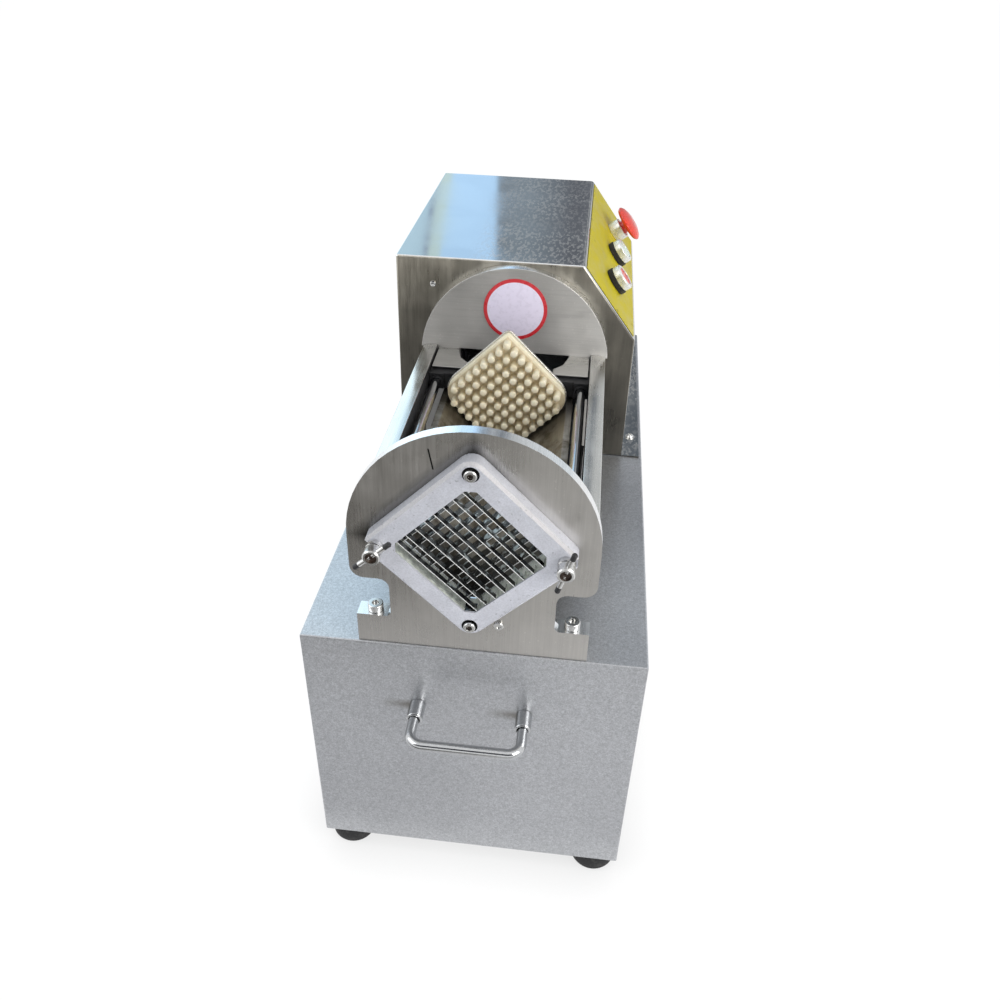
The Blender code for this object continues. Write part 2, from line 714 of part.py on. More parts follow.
def rails():
    """Two beams from the front plate to the rear one, their tops creased along the middle."""
    out = RAIL_IN + RAIL_W
    crease = RAIL_IN + RAIL_W / 2
    low = RAIL_TOP - RAIL_H
    section = [(RAIL_IN, low), (out, low), (out, RAIL_TOP - RAIL_SLOPE), (crease, RAIL_TOP)]
    section.append((RAIL_IN, RAIL_TOP))
    for name, side in SIDES.items():
        shape = prism([(side * x, z) for x, z in section], FRONT_BACK + GAP, REAR_Y - GAP)
        object_of(f"rail_{name}", shape, STEEL)


def guide_rods():
    """Ground rods with a shoulder in each plate and a threaded front end for the clamp nut."""
    first = FRONT_BACK - ROD_SOCKET + GAP
    last = REAR_Y + ROD_SOCKET - GAP
    tip = HOLDER_FRONT - STUD_REACH
    profile = [(0, last), (ROD_R, last), (ROD_R, first), (STUD_R, first), (STUD_R, tip), (0, tip)]
    for name, side in SIDES.items():
        turned(f"guide_rod_{name}", profile, CHROME, (side * ROD_X, 0, AXIS_Z), "Y")


def feed_trough():
    """A V sheet that carries the potato, its lips just below the guide rods."""
    lip = TROUGH_TOP - TROUGH_APEX
    under = lip + SHEET * (sqrt(2) - 1)
    side = [(0, TROUGH_APEX), (lip, TROUGH_TOP), (TROUGH_EDGE, TROUGH_TOP), (TROUGH_EDGE, TROUGH_TOP - SHEET),
            (under, TROUGH_TOP - SHEET), (0, TROUGH_APEX - SHEET * sqrt(2))]
    outline = side + [(-x, z) for x, z in reversed(side[1:-1])]
    object_of("feed_trough", prism(outline, FRONT_BACK + GAP, TROUGH_END), STEEL, smooth=False)


def trough_cradle():
    """A cross plate between the rails that the trough lies in."""
    half = RAIL_IN - GAP
    apex = TROUGH_APEX - SHEET * sqrt(2) - GAP
    wing = CRADLE_TOP - apex
    outline = [(-half, CRADLE_LOW), (half, CRADLE_LOW), (half, CRADLE_TOP), (wing, CRADLE_TOP), (0, apex),
               (-wing, CRADLE_TOP), (-half, CRADLE_TOP)]
    object_of("trough_cradle", prism(outline, CRADLE_Y, CRADLE_Y + CRADLE_T), DARK_STEEL)


def rear_plate():
    """An arch on two legs; the rack runs through the portal between them."""
    floor = DECK_Z + GAP
    out = sqrt(REAR_R ** 2 - (REAR_STEP_Z - REAR_AXIS_Z) ** 2)
    first = atan2(REAR_STEP_Z - REAR_AXIS_Z, out)
    side = arc((0, REAR_AXIS_Z), REAR_R, 90, first * 180 / pi, 16)
    side += [(REAR_LEG_OUT, REAR_STEP_Z), (REAR_LEG_OUT, floor), (PORTAL_HALF, floor)]
    side += [(PORTAL_HALF, PORTAL_TOP), (NOTCH_HALF, PORTAL_TOP), (NOTCH_HALF, REAR_STEP_Z)]
    outline = side + [(-x, z) for x, z in reversed(side[1:])]
    plate = object_of("rear_plate", prism(outline, REAR_Y, REAR_Y + REAR_T), STEEL)
    bores = bmesh.new()
    for sign in (-1, 1):
        rod(ROD_R + GAP, (sign * ROD_X, REAR_Y - 0.01, AXIS_Z), 0.01 + ROD_SOCKET, "Y", 24, bores)
    cut(plate, bores)


def rod_guards():
    """Two small sheets over the rods' back ends, each bent down against the rear plate."""
    out, back, top = RAIL_IN - 0.0016, REAR_Y - GAP, REAR_STEP_Z - SHEET
    outline = [(out, back), (NOTCH_HALF + 0.0010, back), *GUARD_CORNERS, (GUARD_IN, GUARD_Y), (out, GUARD_Y)]
    for name, side in SIDES.items():
        shape = prism([(side * x, y) for x, y in outline], top, top + SHEET, "Z")
        sheet = object_of(f"rod_guard_{name}", shape, STEEL)
        low, high = sorted((side * (NOTCH_HALF + 0.0018), side * (ROD_X - ROD_R - 0.0006)))
        join(sheet, box((low, back - SHEET, top - GUARD_FLAP), (high, back, top + SHEET / 2)))


def round_disc():
    """A plain round disc stuck on the rear plate."""
    profile = [(0, -GAP), (DISC_R, -GAP), (DISC_R, -GAP - DISC_T), (0, -GAP - DISC_T)]
    turned("round_disc", profile, PALE, (0, REAR_Y, DISC_Z), "Y", segments=36)


# Housing

def house_outline(inset=0.0, low=DECK_Z):
    """The housing's section, drawn in by a distance, from its low left corner round."""
    length = hypot(SLOPE.x, SLOPE.z)
    normal = (-SLOPE.z / length, SLOPE.x / length)
    top, half = HOUSE_TOP - inset, HOUSE_HALF - inset
    px, pz = CHAMFER_X - normal[0] * inset, HOUSE_TOP - normal[1] * inset
    top_x = px + (top - pz) * SLOPE.x / SLOPE.z
    side_z = pz + (half - px) * SLOPE.z / SLOPE.x
    return [(-half, low), (-half, top), (top_x, top), (half, side_z), (half, low)]


def panel_holes():
    shape = bmesh.new()
    for y, down in CONTROLS.values():
        rod(PANEL_HOLE_R, (down, HOUSE_Y + y, -0.01), 0.02, "Z", 24, shape)
    return shape


def housing_shell():
    """Folded sheet: front, sides, top and the sloping control panel, with flanges on the deck."""
    low = DECK_Z + GAP + SHEET
    edge = HOUSE_HALF + HOUSE_FLANGE
    profile = [(-edge, low), *house_outline(low=low), (edge, low)]
    shape = bmesh.new()
    front = [shape.verts.new((x, HOUSE_Y, z)) for x, z in profile]
    shape.faces.new(front[1:-1])
    edges = [shape.edges.get(pair) or shape.edges.new(pair) for pair in zip(front, front[1:])]
    grown = bmesh.ops.extrude_edge_only(shape, edges=edges)["geom"]
    back = [v for v in grown if isinstance(v, bmesh.types.BMVert)]
    bmesh.ops.translate(shape, vec=(0, HOUSE_D, 0), verts=back)
    shell = object_of("housing_shell", shape, STEEL)
    up = max(shell.data.polygons, key=lambda face: face.center.z).normal.z > 0
    bevelled(shell, HOUSE_BEND, 2)
    sheet = shell.modifiers.new("sheet", "SOLIDIFY")
    sheet.thickness = SHEET
    sheet.offset = -1 if up else 1
    sheet.use_even_offset = True
    half = PORTAL_HALF + 0.0007
    screws = bmesh.new()
    for side in (-1, 1):
        for y in SCREW_YS:
            place = (side * (HOUSE_HALF + HOUSE_FLANGE / 2), HOUSE_Y + y, DECK_Z - 0.01)
            rod(SCREW_HOLE_R, place, 0.02, "Z", 12, screws)
    cut(shell, box((-half, HOUSE_Y - 0.01, DECK_Z - 0.01), (half, HOUSE_Y + 0.01, REAR_STEP_Z)), screws)
    boolean(shell, object_of("housing_panel_holes", panel_holes(), parent=PANEL))


def housing_back_panel():
    inner = house_outline(SHEET + GAP, DECK_Z + 2 * GAP)
    front = HOUSE_BACK - 0.004
    panel = object_of("housing_back_panel", prism(inner, front, front + SHEET), STEEL)
    slots = bmesh.new()
    for row in range(4):
        z = DECK_Z + 0.104 + row * 0.016
        box((-0.050, HOUSE_BACK - 0.02, z), (0.030, HOUSE_BACK + 0.02, z + SLOT_W), slots)
    cut(panel, slots)


def panel_label():
    """The plain yellow sheet over the sloping panel."""
    length = hypot(SLOPE.x, SLOPE.z)
    low = (LABEL_EDGE, HOUSE_Y + LABEL_EDGE, GAP)
    high = (length - LABEL_EDGE, HOUSE_BACK - LABEL_EDGE, GAP + LABEL_T)
    cut(object_of("panel_label", box(low, high), YELLOW, PANEL), panel_holes())


def control_place(name):
    y, down = CONTROLS[name]
    return HOUSE_Y + y, down


def push_buttons():
    """Flush push buttons: gasket, chrome bezel, contact block behind the panel, and sprung cap."""
    face = GAP + LABEL_T + GAP
    seat = face + GASKET_T + GAP
    bore, inner, rim = CAP_R + GAP, 0.0066, 0.0012
    high = face + GASKET_T
    ring = [(PANEL_HOLE_R, high), (GASKET_R, high), (GASKET_R, face), (PANEL_HOLE_R, face)]
    tube = [(bore, seat + BEZEL_H), (BEZEL_R - rim, seat + BEZEL_H), (BEZEL_R, seat + BEZEL_H - rim),
            (BEZEL_R, seat), (NECK_R, seat), (NECK_R, -NECK_L), (inner, -NECK_L), (inner, seat), (bore, seat)]
    low = CAP_TRAVEL + 0.0006
    for name in ("stop", "start"):
        y, down = control_place(name)
        turned(f"{name}_button_gasket", ring, RUBBER, (down, y, 0), parent=PANEL)
        turned(f"{name}_button_bezel", tube, CHROME, (down, y, 0), parent=PANEL)
        contact_block(f"{name}_button_contact", y, down, BUTTON_BLOCK_HALF, BUTTON_BLOCK_L)
        axis = axis_empty(f"{name}_button_axis", (down, y, seat), parent=PANEL)
        top = BEZEL_H - CAP_SUNK[name]
        cap = [(0, top), (CAP_R - 0.0009, top), (CAP_R, top - 0.0009), (CAP_R, low), (0.0062, low),
               (0.0062, -0.010), (0, -0.010)]
        turned(f"{name}_button_cap", cap, CAP_FINISH[name], parent=axis)


def contact_block(name, y, down, half, depth):
    """The switch block on the back end of a control's threaded neck."""
    top = -NECK_L - GAP
    object_of(name, box((down - half, y - half, top - depth), (down + half, y + half, top)), BLACK, PANEL)


def emergency_stop():
    face = GAP + LABEL_T + GAP
    top = face + COLLAR_H
    bore, rim = PLUNGER_R + GAP, 0.001
    y, down = control_place("estop")
    collar = [(bore, top), (COLLAR_R - rim, top), (COLLAR_R, top - rim), (COLLAR_R, face), (NECK_R, face),
              (NECK_R, -NECK_L), (bore, -NECK_L)]
    turned("estop_collar", collar, CHROME, (down, y, 0), parent=PANEL)
    contact_block("estop_contact", y, down, ESTOP_BLOCK_HALF, ESTOP_BLOCK_L)
    head_low = top + ESTOP_TRAVEL + 0.0005
    axis = axis_empty("estop_axis", (down, y, head_low), parent=PANEL)
    tail = ESTOP_TRAVEL + 0.0006 - NECK_L - head_low
    plunger = [(0, -GAP), (PLUNGER_R, -GAP), (PLUNGER_R, tail), (0, tail)]
    turned("estop_plunger", plunger, RED, parent=axis)
    rim, high = MUSHROOM_R, MUSHROOM_H
    shares = ((0, 1), (0.55, 0.93), (0.85, 0.72), (1, 0.45), (1, 0.28), (0.9, 0.05), (0.62, 0), (0, 0))
    head = [(rim * across, high * up) for across, up in shares]
    turned("estop_head", head, RED, parent=axis, segments=28)


# Pusher and carriage

def pusher_outline(half, rim=0.0):
    """The pusher's square on its corner, rounded at the sides to clear the guide rods."""
    outline = []
    for angle in (0, 90, 180, 270):
        radius, steps = (PUSHER_TIP_R, 2) if angle % 180 else (PUSHER_SIDE_R, 5)
        centre = (half - radius) * sqrt(2)
        middle = (centre * cos(radians(angle)), AXIS_Z + centre * sin(radians(angle)))
        outline += arc(middle, radius + rim, angle - 45, angle + 45, steps)
    return outline


def pusher():
    """The pegged nylon block on its steel backing plate."""
    shape = prism(pusher_outline(BLOCK_HALF), BLOCK_FRONT, BLOCK_BACK)
    join(object_of("pusher_block", shape, NYLON, PUSHER), pegs())
    shape = prism(pusher_outline(BLOCK_HALF, PUSHER_RIM), BLOCK_BACK + GAP, PLATE_BACK)
    object_of("pusher_plate", shape, STEEL, PUSHER)


def pegs():
    """Round-ended pegs, one for each cell of the grid but the two cut corners."""
    shape = bmesh.new()
    reach = range(-PEGS_FROM_MIDDLE, PEGS_FROM_MIDDLE + 1)
    for a in reach:
        for b in reach:
            if abs(a - b) < 2 * PEGS_FROM_MIDDLE:
                x, z = (a - b) * PITCH * ROOT_HALF, AXIS_Z + (a + b) * PITCH * ROOT_HALF
                rod(PEG_R, (x, PEG_END_Y, z), PEG_L + PEG_ROOT, "Y", 6, shape)
    rims = [e for e in shape.edges if all(v.co.y < PEG_END_Y + PEG_ROOT for v in e.verts)]
    bmesh.ops.bevel(shape, geom=rims, offset=PEG_R * 0.5, segments=1, profile=0.5, affect="EDGES")
    return shape


def carriage():
    """A cross bar on two sliders, with a socketed hub for the rack."""
    front, back = BAR_FRONT, BAR_FRONT + BAR_T
    nose, tail = PLATE_BACK + GAP, RACK_PIN_Y + HUB_TAIL
    slide_in, slide_out = ROD_X - SLIDER_W / 2, ROD_X + SLIDER_W / 2
    slide_front = front - 0.002
    slide_back = slide_front + SLIDER_L
    half = [(HUB_HALF, nose), (HUB_HALF, front), (slide_in, front), (slide_in, slide_front)]
    half += [(slide_out, slide_front), (slide_out, slide_back), (slide_in, slide_back), (slide_in, back)]
    half += [(HUB_HALF, back), (HUB_HALF, tail)]
    outline = half + [(-x, y) for x, y in reversed(half)]
    bar = object_of("carriage", prism(outline, SLIDER_LOW, SLIDER_TOP, "Z"), DARK_STEEL, PUSHER)
    hub = [(-HUB_HALF, nose), (HUB_HALF, nose), (HUB_HALF, tail), (-HUB_HALF, tail)]
    join(bar, prism(hub, HUB_LOW, SLIDER_TOP, "Z"))
    bores = bmesh.new()
    for side in (-1, 1):
        rod(BUSH_R + GAP, (side * ROD_X, slide_front - 0.01, AXIS_Z), 0.06, "Y", 24, bores)
    low = (-RACK_HALF - GAP, RACK_FRONT - GAP, RACK_LOW - GAP)
    socket = box(low, (RACK_HALF + GAP, tail + 0.01, RACK_TOP + GAP))
    cut(bar, bores, socket, rod(RACK_PIN_R + GAP, (0, RACK_PIN_Y, HUB_LOW - 0.01), 0.08, "Z", 20))
    flange, bore = 0.0012, ROD_R + 0.0004
    tube = [(bore, SLIDER_L - 0.001), (BUSH_R, SLIDER_L - 0.001), (BUSH_R, -GAP), (0.0073, -GAP),
            (0.0073, -GAP - flange), (bore, -GAP - flange)]
    for name, side in SIDES.items():
        turned(f"carriage_bush_{name}", tube, BLACK, (side * ROD_X, slide_front, AXIS_Z), "Y", PUSHER)
    top, head = SLIDER_TOP - 0.0006, HUB_LOW - GAP
    head_r, low = 0.0072, head - 0.0027
    pin = [(0, top), (RACK_PIN_R, top), (RACK_PIN_R, head), (head_r, head), (head_r, low), (0, low)]
    turned("rack_pin", pin, STEEL, (0, RACK_PIN_Y, 0), parent=PUSHER, segments=20)


# Rack drive

def rack():
    """The rack behind the carriage, its straight-sided teeth on the left."""
    pitch = pi * MODULE
    half = pitch / 4 - BACKLASH / 2
    tip_half, root_half = half - ADDENDUM * tan(PRESSURE), half + DEDENDUM * tan(PRESSURE)
    tip_x, root_x = -RACK_HALF - ADDENDUM, DEDENDUM - RACK_HALF
    margin = 2
    teeth = range(-margin, round(TRAVEL / pitch) + margin + 1)
    start, end = PINION_Y - (margin + 1) * pitch, PINION_Y + (teeth[-1] + 1) * pitch
    outline = [(RACK_HALF, end), (RACK_HALF, RACK_FRONT), (-RACK_HALF, RACK_FRONT), (-RACK_HALF, start)]
    for tooth in teeth:
        y = PINION_Y + tooth * pitch
        outline += [(root_x, y - root_half), (tip_x, y - tip_half)]
        outline += [(tip_x, y + tip_half), (root_x, y + root_half)]
    outline.append((root_x, end))
    bar = object_of("rack", prism(outline, RACK_LOW, RACK_TOP, "Z"), STEEL, PUSHER)
    cut(bar, rod(RACK_PIN_R + GAP, (0, RACK_PIN_Y, RACK_LOW - 0.01), 0.04, "Z", 20))


def pinion_outline():
    """Involute teeth about the origin, with the gap between two of them towards the rack."""
    base = PINION_R * cos(PRESSURE)
    root, tip = PINION_R - DEDENDUM, PINION_R + ADDENDUM
    at_pitch = pi / (2 * PINION_TEETH) - BACKLASH / (2 * PINION_R) + tan(PRESSURE) - PRESSURE
    flank = [(root, at_pitch)]
    for step in range(5):
        radius = base + (tip - base) * step / 4
        lean = acos(base / radius)
        flank.append((radius, at_pitch - tan(lean) + lean))
    outline = []
    for tooth in range(PINION_TEETH):
        middle = (tooth + 0.5) * 2 * pi / PINION_TEETH
        sides = [(radius, middle - turn) for radius, turn in flank]
        sides += [(radius, middle + turn) for radius, turn in reversed(flank)]
        outline += [(radius * cos(turn), radius * sin(turn)) for radius, turn in sides]
    return outline


def pinion():
    """The pinion on the gearbox's output shaft, in mesh with the rack."""
    axis = axis_empty("pinion_axis", (PINION_X, PINION_Y, 0))
    low, top = RACK_LOW - 0.001, RACK_TOP + 0.001
    gear = object_of("pinion", prism(pinion_outline(), low, top, "Z"), DARK_STEEL, axis)
    join(gear, rod(PINION_HUB_R, (0, 0, low - PINION_HUB_L), PINION_HUB_L + 0.004, "Z", 28))
    cut(gear, rod(SHAFT_R + GAP, (0, 0, low - 0.04), 0.08, "Z", 28))
    start = DECK_Z - SHEET - 0.020
    object_of("output_shaft", rod(SHAFT_R, (0, 0, start), top + 0.002 - start, "Z", 28), STEEL, axis)


def rack_guide():
    """A bracket on the deck that holds the rack to the pinion from behind, below and above."""
    floor, inner = DECK_Z + GAP, RACK_HALF + GAP
    back, shelf, lip = inner + GUIDE_T, RACK_LOW - GAP, RACK_TOP + GAP
    flange, thick, shelf_x, lip_x = 0.040, 0.006, -0.006, -0.002
    outline = [(shelf_x, shelf - GUIDE_T), (inner, shelf - GUIDE_T), (inner, floor), (flange, floor)]
    outline += [(flange, floor + thick), (back, floor + thick), (back, lip + thick), (lip_x, lip + thick)]
    outline += [(lip_x, lip), (inner, lip), (inner, shelf), (shelf_x, shelf)]
    object_of("rack_guide", prism(outline, PINION_Y - GUIDE_HALF, PINION_Y + GUIDE_HALF), STEEL)


def gearbox():
    """A worm gearbox under the deck, its output shaft standing up into the housing."""
    top = DECK_Z - SHEET - GAP
    low = (GEAR_X[0], GEAR_Y[0], GEAR_LOW)
    case = object_of("gearbox", box(low, (GEAR_X[1], GEAR_Y[1], top - 0.006)), IRON)
    bevelled(case, 0.008, 2)
    head = rod(GEAR_HEAD_R, (PINION_X, PINION_Y, top - 0.03), 0.03, "Z", 32)
    nose = rod(0.046, (MOTOR_X, GEAR_Y[0] - GEAR_NOSE, MOTOR_Z), 0.04, "Y", 32)
    join(case, head, nose)
    bores = rod(SHAFT_R + 0.0006, (PINION_X, PINION_Y, top - 0.030), 0.05, "Z", 28)
    rod(MOTOR_SHAFT_R + 0.0006, (MOTOR_X, GEAR_Y[0] - 0.03, MOTOR_Z), 0.06, "Y", 20, bores)
    cut(case, bores)


def motor():
    """A ribbed motor along the cabinet with its terminal box, fan and fan cover."""
    end = GEAR_Y[0] - GEAR_NOSE - GAP
    start = end - MOTOR_L
    outline = []
    for rib in range(MOTOR_RIBS):
        for share, depth in ((0.1, 0), (0.45, 0), (0.55, MOTOR_RIB_H), (1.0, MOTOR_RIB_H)):
            turn = (rib + share) * 2 * pi / MOTOR_RIBS
            outline.append((MOTOR_X + (MOTOR_R - depth) * cos(turn), MOTOR_Z + (MOTOR_R - depth) * sin(turn)))
    body = object_of("motor_body", prism(outline, start + 0.012, end - 0.012), IRON, smooth=False)
    bells = rod(MOTOR_R + 0.002, (MOTOR_X, start, MOTOR_Z), 0.016, "Y", 32)
    rod(MOTOR_R + 0.002, (MOTOR_X, end - 0.016, MOTOR_Z), 0.016, "Y", 32, bells)
    side = MOTOR_X + MOTOR_R
    low, high = (side - 0.014, end - 0.120, MOTOR_Z - 0.030), (side + 0.030, end - 0.040, MOTOR_Z + 0.030)
    terminals = box(low, high)
    join(body, bells, terminals)
    cut(body, rod(MOTOR_SHAFT_R + 0.0006, (MOTOR_X, start - 0.01, MOTOR_Z), MOTOR_L + 0.02, "Y", 20))
    motor_rotor(start)
    fan_cover(start)


def motor_rotor(start):
    """The motor's shaft, from the worm gearbox to its six-bladed fan."""
    axis = axis_empty("motor_axis", (MOTOR_X, 0, MOTOR_Z))
    fan_y = start - GAP - 0.026
    tip = GEAR_Y[0] + 0.026
    shaft = rod(MOTOR_SHAFT_R, (0, fan_y + 0.001, 0), tip - fan_y, "Y", 20)
    hub = rod(0.016, (0, fan_y + 0.0005, 0), 0.018, "Y", 20)
    vanes = [fan_vane(fan_y, turn) for turn in range(3)]
    join(object_of("motor_rotor", shaft, STEEL, axis), hub, *vanes)


def fan_vane(fan_y, turn):
    """One flat vane across the hub, so that three of them make six blades."""
    vane = box((-FAN_R, fan_y + 0.002, -0.001), (FAN_R, fan_y + 0.016, 0.001))
    lean = Matrix.Rotation(turn * pi / 3 + 0.1, 3, "Y")
    bmesh.ops.rotate(vane, cent=(0, 0, 0), matrix=lean, verts=vane.verts)
    return vane


def fan_cover(start):
    radius, width, half = MOTOR_R + 0.0017, 0.034, 0.002
    can = rod(radius, (MOTOR_X, start - GAP - COVER_L, MOTOR_Z), COVER_L, "Y", 32)
    cover = object_of("fan_cover", can, IRON)
    slots = bmesh.new()
    for row in range(-3, 4):
        z = MOTOR_Z + row * 0.012
        low = (MOTOR_X - width, start - COVER_L - 0.02, z - half)
        box(low, (MOTOR_X + width, start - COVER_L + 0.01, z + half), slots)
    inside = rod(radius - SHEET, (MOTOR_X, start - COVER_L + 0.0012, MOTOR_Z), COVER_L + 0.01, "Y", 32)
    cut(cover, inside, slots)


def electrics():
    """The contactor unit on the bottom plate and the supply inlet's gland in the back."""
    floor = FOOT_H + SHEET + GAP + SHEET + GAP
    right = BASE_W / 2 - CONTACTOR_IN
    low = (right - CONTACTOR_W, CONTACTOR_Y, floor)
    high = (right, CONTACTOR_Y + CONTACTOR_L, floor + CONTACTOR_H)
    unit = object_of("contactor_unit", box(low, high), BLACK)
    bevelled(unit, 0.002)
    back = BASE_D + GAP
    inside = BASE_D - SHEET - GAP
    end, flange, bore, nut_r, hood_r = back + GLAND_OUT, 0.005, 0.0045, 0.0125, 0.0105
    profile = [(bore, end), (0.0075, end), (0.0100, end - 0.004), (hood_r, back + flange)]
    profile += [(nut_r, back + flange), (nut_r, back), (GLAND_R, back), (GLAND_R, inside)]
    profile += [(0.0120, inside), (0.0120, inside - flange), (bore, inside - flange)]
    turned("cable_gland", profile, BLACK, (GLAND_X, 0, GLAND_Z), "Y", segments=20)


MACHINE = bpy.data.objects.new("machine", None)
MACHINE.location = (0, -MIDDLE_Y, 0)
PARTS.objects.link(MACHINE)
PANEL = axis_empty("control_panel", (CHAMFER_X, 0, HOUSE_TOP), PANEL_TILT)
PUSHER = axis_empty("pusher_axis", (0, 0, 0))

base_cabinet()
base_bottom_plate()
feet()
handle()
front_plate()
front_plate_bolts()
blade_holder()
blade_grids()
holder_screws()
clamp_nuts()
rails()
guide_rods()
feed_trough()
trough_cradle()
rear_plate()
rod_guards()
round_disc()
housing_shell()
housing_back_panel()
panel_label()
push_buttons()
emergency_stop()
pusher()
carriage()
rack()
pinion()
rack_guide()
gearbox()
motor()
electrics()
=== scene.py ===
"""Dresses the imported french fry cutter: finishes, rounded rims, fittings, stage and camera."""

import json
from math import cos, pi, radians, sin, sqrt

import bmesh
import bpy
from bpy.props import FloatProperty, FloatVectorProperty, PointerProperty
from mathutils import Matrix, Vector

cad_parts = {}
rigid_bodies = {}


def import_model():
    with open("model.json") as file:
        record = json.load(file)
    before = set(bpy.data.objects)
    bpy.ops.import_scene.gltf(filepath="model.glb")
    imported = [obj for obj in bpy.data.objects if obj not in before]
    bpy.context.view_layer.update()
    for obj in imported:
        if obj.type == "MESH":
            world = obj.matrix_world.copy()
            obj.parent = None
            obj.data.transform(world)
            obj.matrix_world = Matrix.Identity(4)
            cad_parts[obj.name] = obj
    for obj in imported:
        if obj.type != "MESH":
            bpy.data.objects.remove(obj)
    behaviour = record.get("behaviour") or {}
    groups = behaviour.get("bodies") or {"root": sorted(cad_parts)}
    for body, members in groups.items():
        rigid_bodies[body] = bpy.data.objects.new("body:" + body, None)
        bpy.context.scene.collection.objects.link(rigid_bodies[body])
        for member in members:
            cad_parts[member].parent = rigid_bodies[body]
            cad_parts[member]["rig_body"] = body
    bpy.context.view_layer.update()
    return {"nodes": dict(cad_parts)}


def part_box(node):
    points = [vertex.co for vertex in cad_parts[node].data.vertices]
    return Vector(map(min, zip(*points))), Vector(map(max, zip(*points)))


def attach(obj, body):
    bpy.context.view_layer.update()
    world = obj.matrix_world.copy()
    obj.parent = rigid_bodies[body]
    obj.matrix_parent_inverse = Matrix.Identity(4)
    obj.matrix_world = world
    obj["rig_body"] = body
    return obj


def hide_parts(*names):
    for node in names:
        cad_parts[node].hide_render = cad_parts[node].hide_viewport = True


bl_info = {
    "name": "French Fry Cutter Dressing",
    "version": (1, 0, 0),
    "blender": (4, 5, 0),
    "location": "View3D > Sidebar > Fry Cutter",
    "description": "Builds the finished look of a benchtop french fry cutter",
    "category": "Object",
}

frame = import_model()

# Places read from the frame, in metres
FRONT_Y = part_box("base_cabinet")[0].y
DECK_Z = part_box("base_cabinet")[1].z
AXIS_Z = (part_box("guide_rod_left")[0].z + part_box("guide_rod_left")[1].z) / 2
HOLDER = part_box("blade_holder")

# Sizes of the finished pieces, in metres
GAP = 0.0003  # between the deck and the housing's flange
FLANGE_T = 0.0015
SCREW_INSET = 0.010  # from the flange's edge
SCREW_YS = (0.3775, 0.634)  # from the cabinet's front
RIVET_X, RIVET_Z = -0.088, 0.488
NECK_SCREW_X, NECK_SCREW_Z = 0.0225, 0.3275
HANDLE_BEND = 0.012
BLOCK_T = 0.0057  # the pusher block without its pegs
BLADES_HALF = 0.0444  # half the square opening round the blades
BLADES_CORNER = 0.0055  # cut off each corner of that square
BLADE_SHOWN = 0.0050  # shown depth of the front blades
POCKET_R = 0.0068
MARK_X, MARK_Z, MARK_SLANT = -0.0317, 0.485, -0.19
RING_R, RING_HALF = 0.0312, 0.0020  # the disc's printed ring
BAR_ANGLES = {"left": 42.0, "right": 73.0}  # degrees from level
NUT_R, NUT_GROOVE = 0.0070, 0.0007
BAR_HALF, BAR_R = 0.0200, 0.00225

# Limits for cleaning a solid's mesh
MERGE = 0.000005
FLAT = radians(0.4)

# The photograph's camera, measured from the cabinet's front
CAMERA_PLACE = Vector((0.0716, -0.5407, 0.8341))
CAMERA_YAW, CAMERA_PITCH, CAMERA_ROLL = radians(5.397), radians(34.893), radians(1.756)
CAMERA_LENS = 32.01

SIDES = {"left": -1, "right": 1}


# Settings

def colour(name, description, value):
    """A colour that the panel shows."""
    return FloatVectorProperty(name=name, description=description, default=value, size=3,
                               min=0, max=1, subtype="COLOR")


def length(name, description, value):
    """A length that the panel shows."""
    return FloatProperty(name=name, description=description, default=value, min=0, unit="LENGTH")


class FryCutterColours(bpy.types.PropertyGroup):
    cabinet: colour("Cabinet", "Sand-grained steel of the base", (0.50, 0.51, 0.53))
    housing: colour("Housing", "Polished steel of the drive housing", (0.48, 0.48, 0.47))
    front: colour("Housing front", "Stained steel of the housing's front", (0.25, 0.235, 0.20))
    plates: colour("Plates", "Brushed steel of the two round plates", (0.56, 0.545, 0.52))
    rails: colour("Rails", "Steel of the rails and guards", (0.72, 0.715, 0.69))
    # Rim colour: lighter than the plates', as a painted highlight.
    rims: colour("Rims", "Polished rims of the plates and the housing's fold", (0.80, 0.81, 0.82))
    trough: colour("Trough", "Used steel of the feed trough", (0.42, 0.395, 0.355))
    holder: colour("Holder", "Cast aluminium of the blade holder", (0.70, 0.71, 0.77))
    # Chamfer colour: darker than the holder's, as painted shade.
    chamfer: colour("Chamfer", "Worn chamfers of the blade holder", (0.55, 0.54, 0.55))
    chrome: colour("Chrome", "Handle and guide rods", (0.56, 0.57, 0.58))
    # Blade colour: darkened as painted shade in the cells between the blades.
    blades: colour("Blades", "Ground blade steel", (0.115, 0.115, 0.112))
    # Wall colour: a pale film, whitened further as a painted reflection.
    starch: colour("Starch", "Dried on the walls round the blades", (0.92, 0.96, 0.87))
    # Edge colour: painted pale as a highlight on the blades' edges.
    honed: colour("Honed edge", "Cutting edges of the blades", (0.92, 0.92, 0.90))
    dark: colour("Dark steel", "Carriage and pinion", (0.035, 0.035, 0.037))
    nylon: colour("Nylon", "Pegged pusher block", (0.86, 0.79, 0.60))
    rubber: colour("Rubber", "Feet and gaskets", (0.012, 0.012, 0.013))
    label: colour("Label", "Plain sheet over the control panel", (0.56, 0.47, 0.008))
    stop: colour("Stop", "Stop cap and mushroom head", (0.80, 0.045, 0.02))
    start: colour("Start", "Start cap", (0.66, 0.80, 0.68))
    disc: colour("Disc", "Plain round disc on the rear plate", (0.80, 0.74, 0.88))
    disc_rim: colour("Disc rim", "Printed ring round the disc", (0.60, 0.03, 0.04))
    paint: colour("Machine paint", "Gearbox and motor", (0.16, 0.20, 0.24))


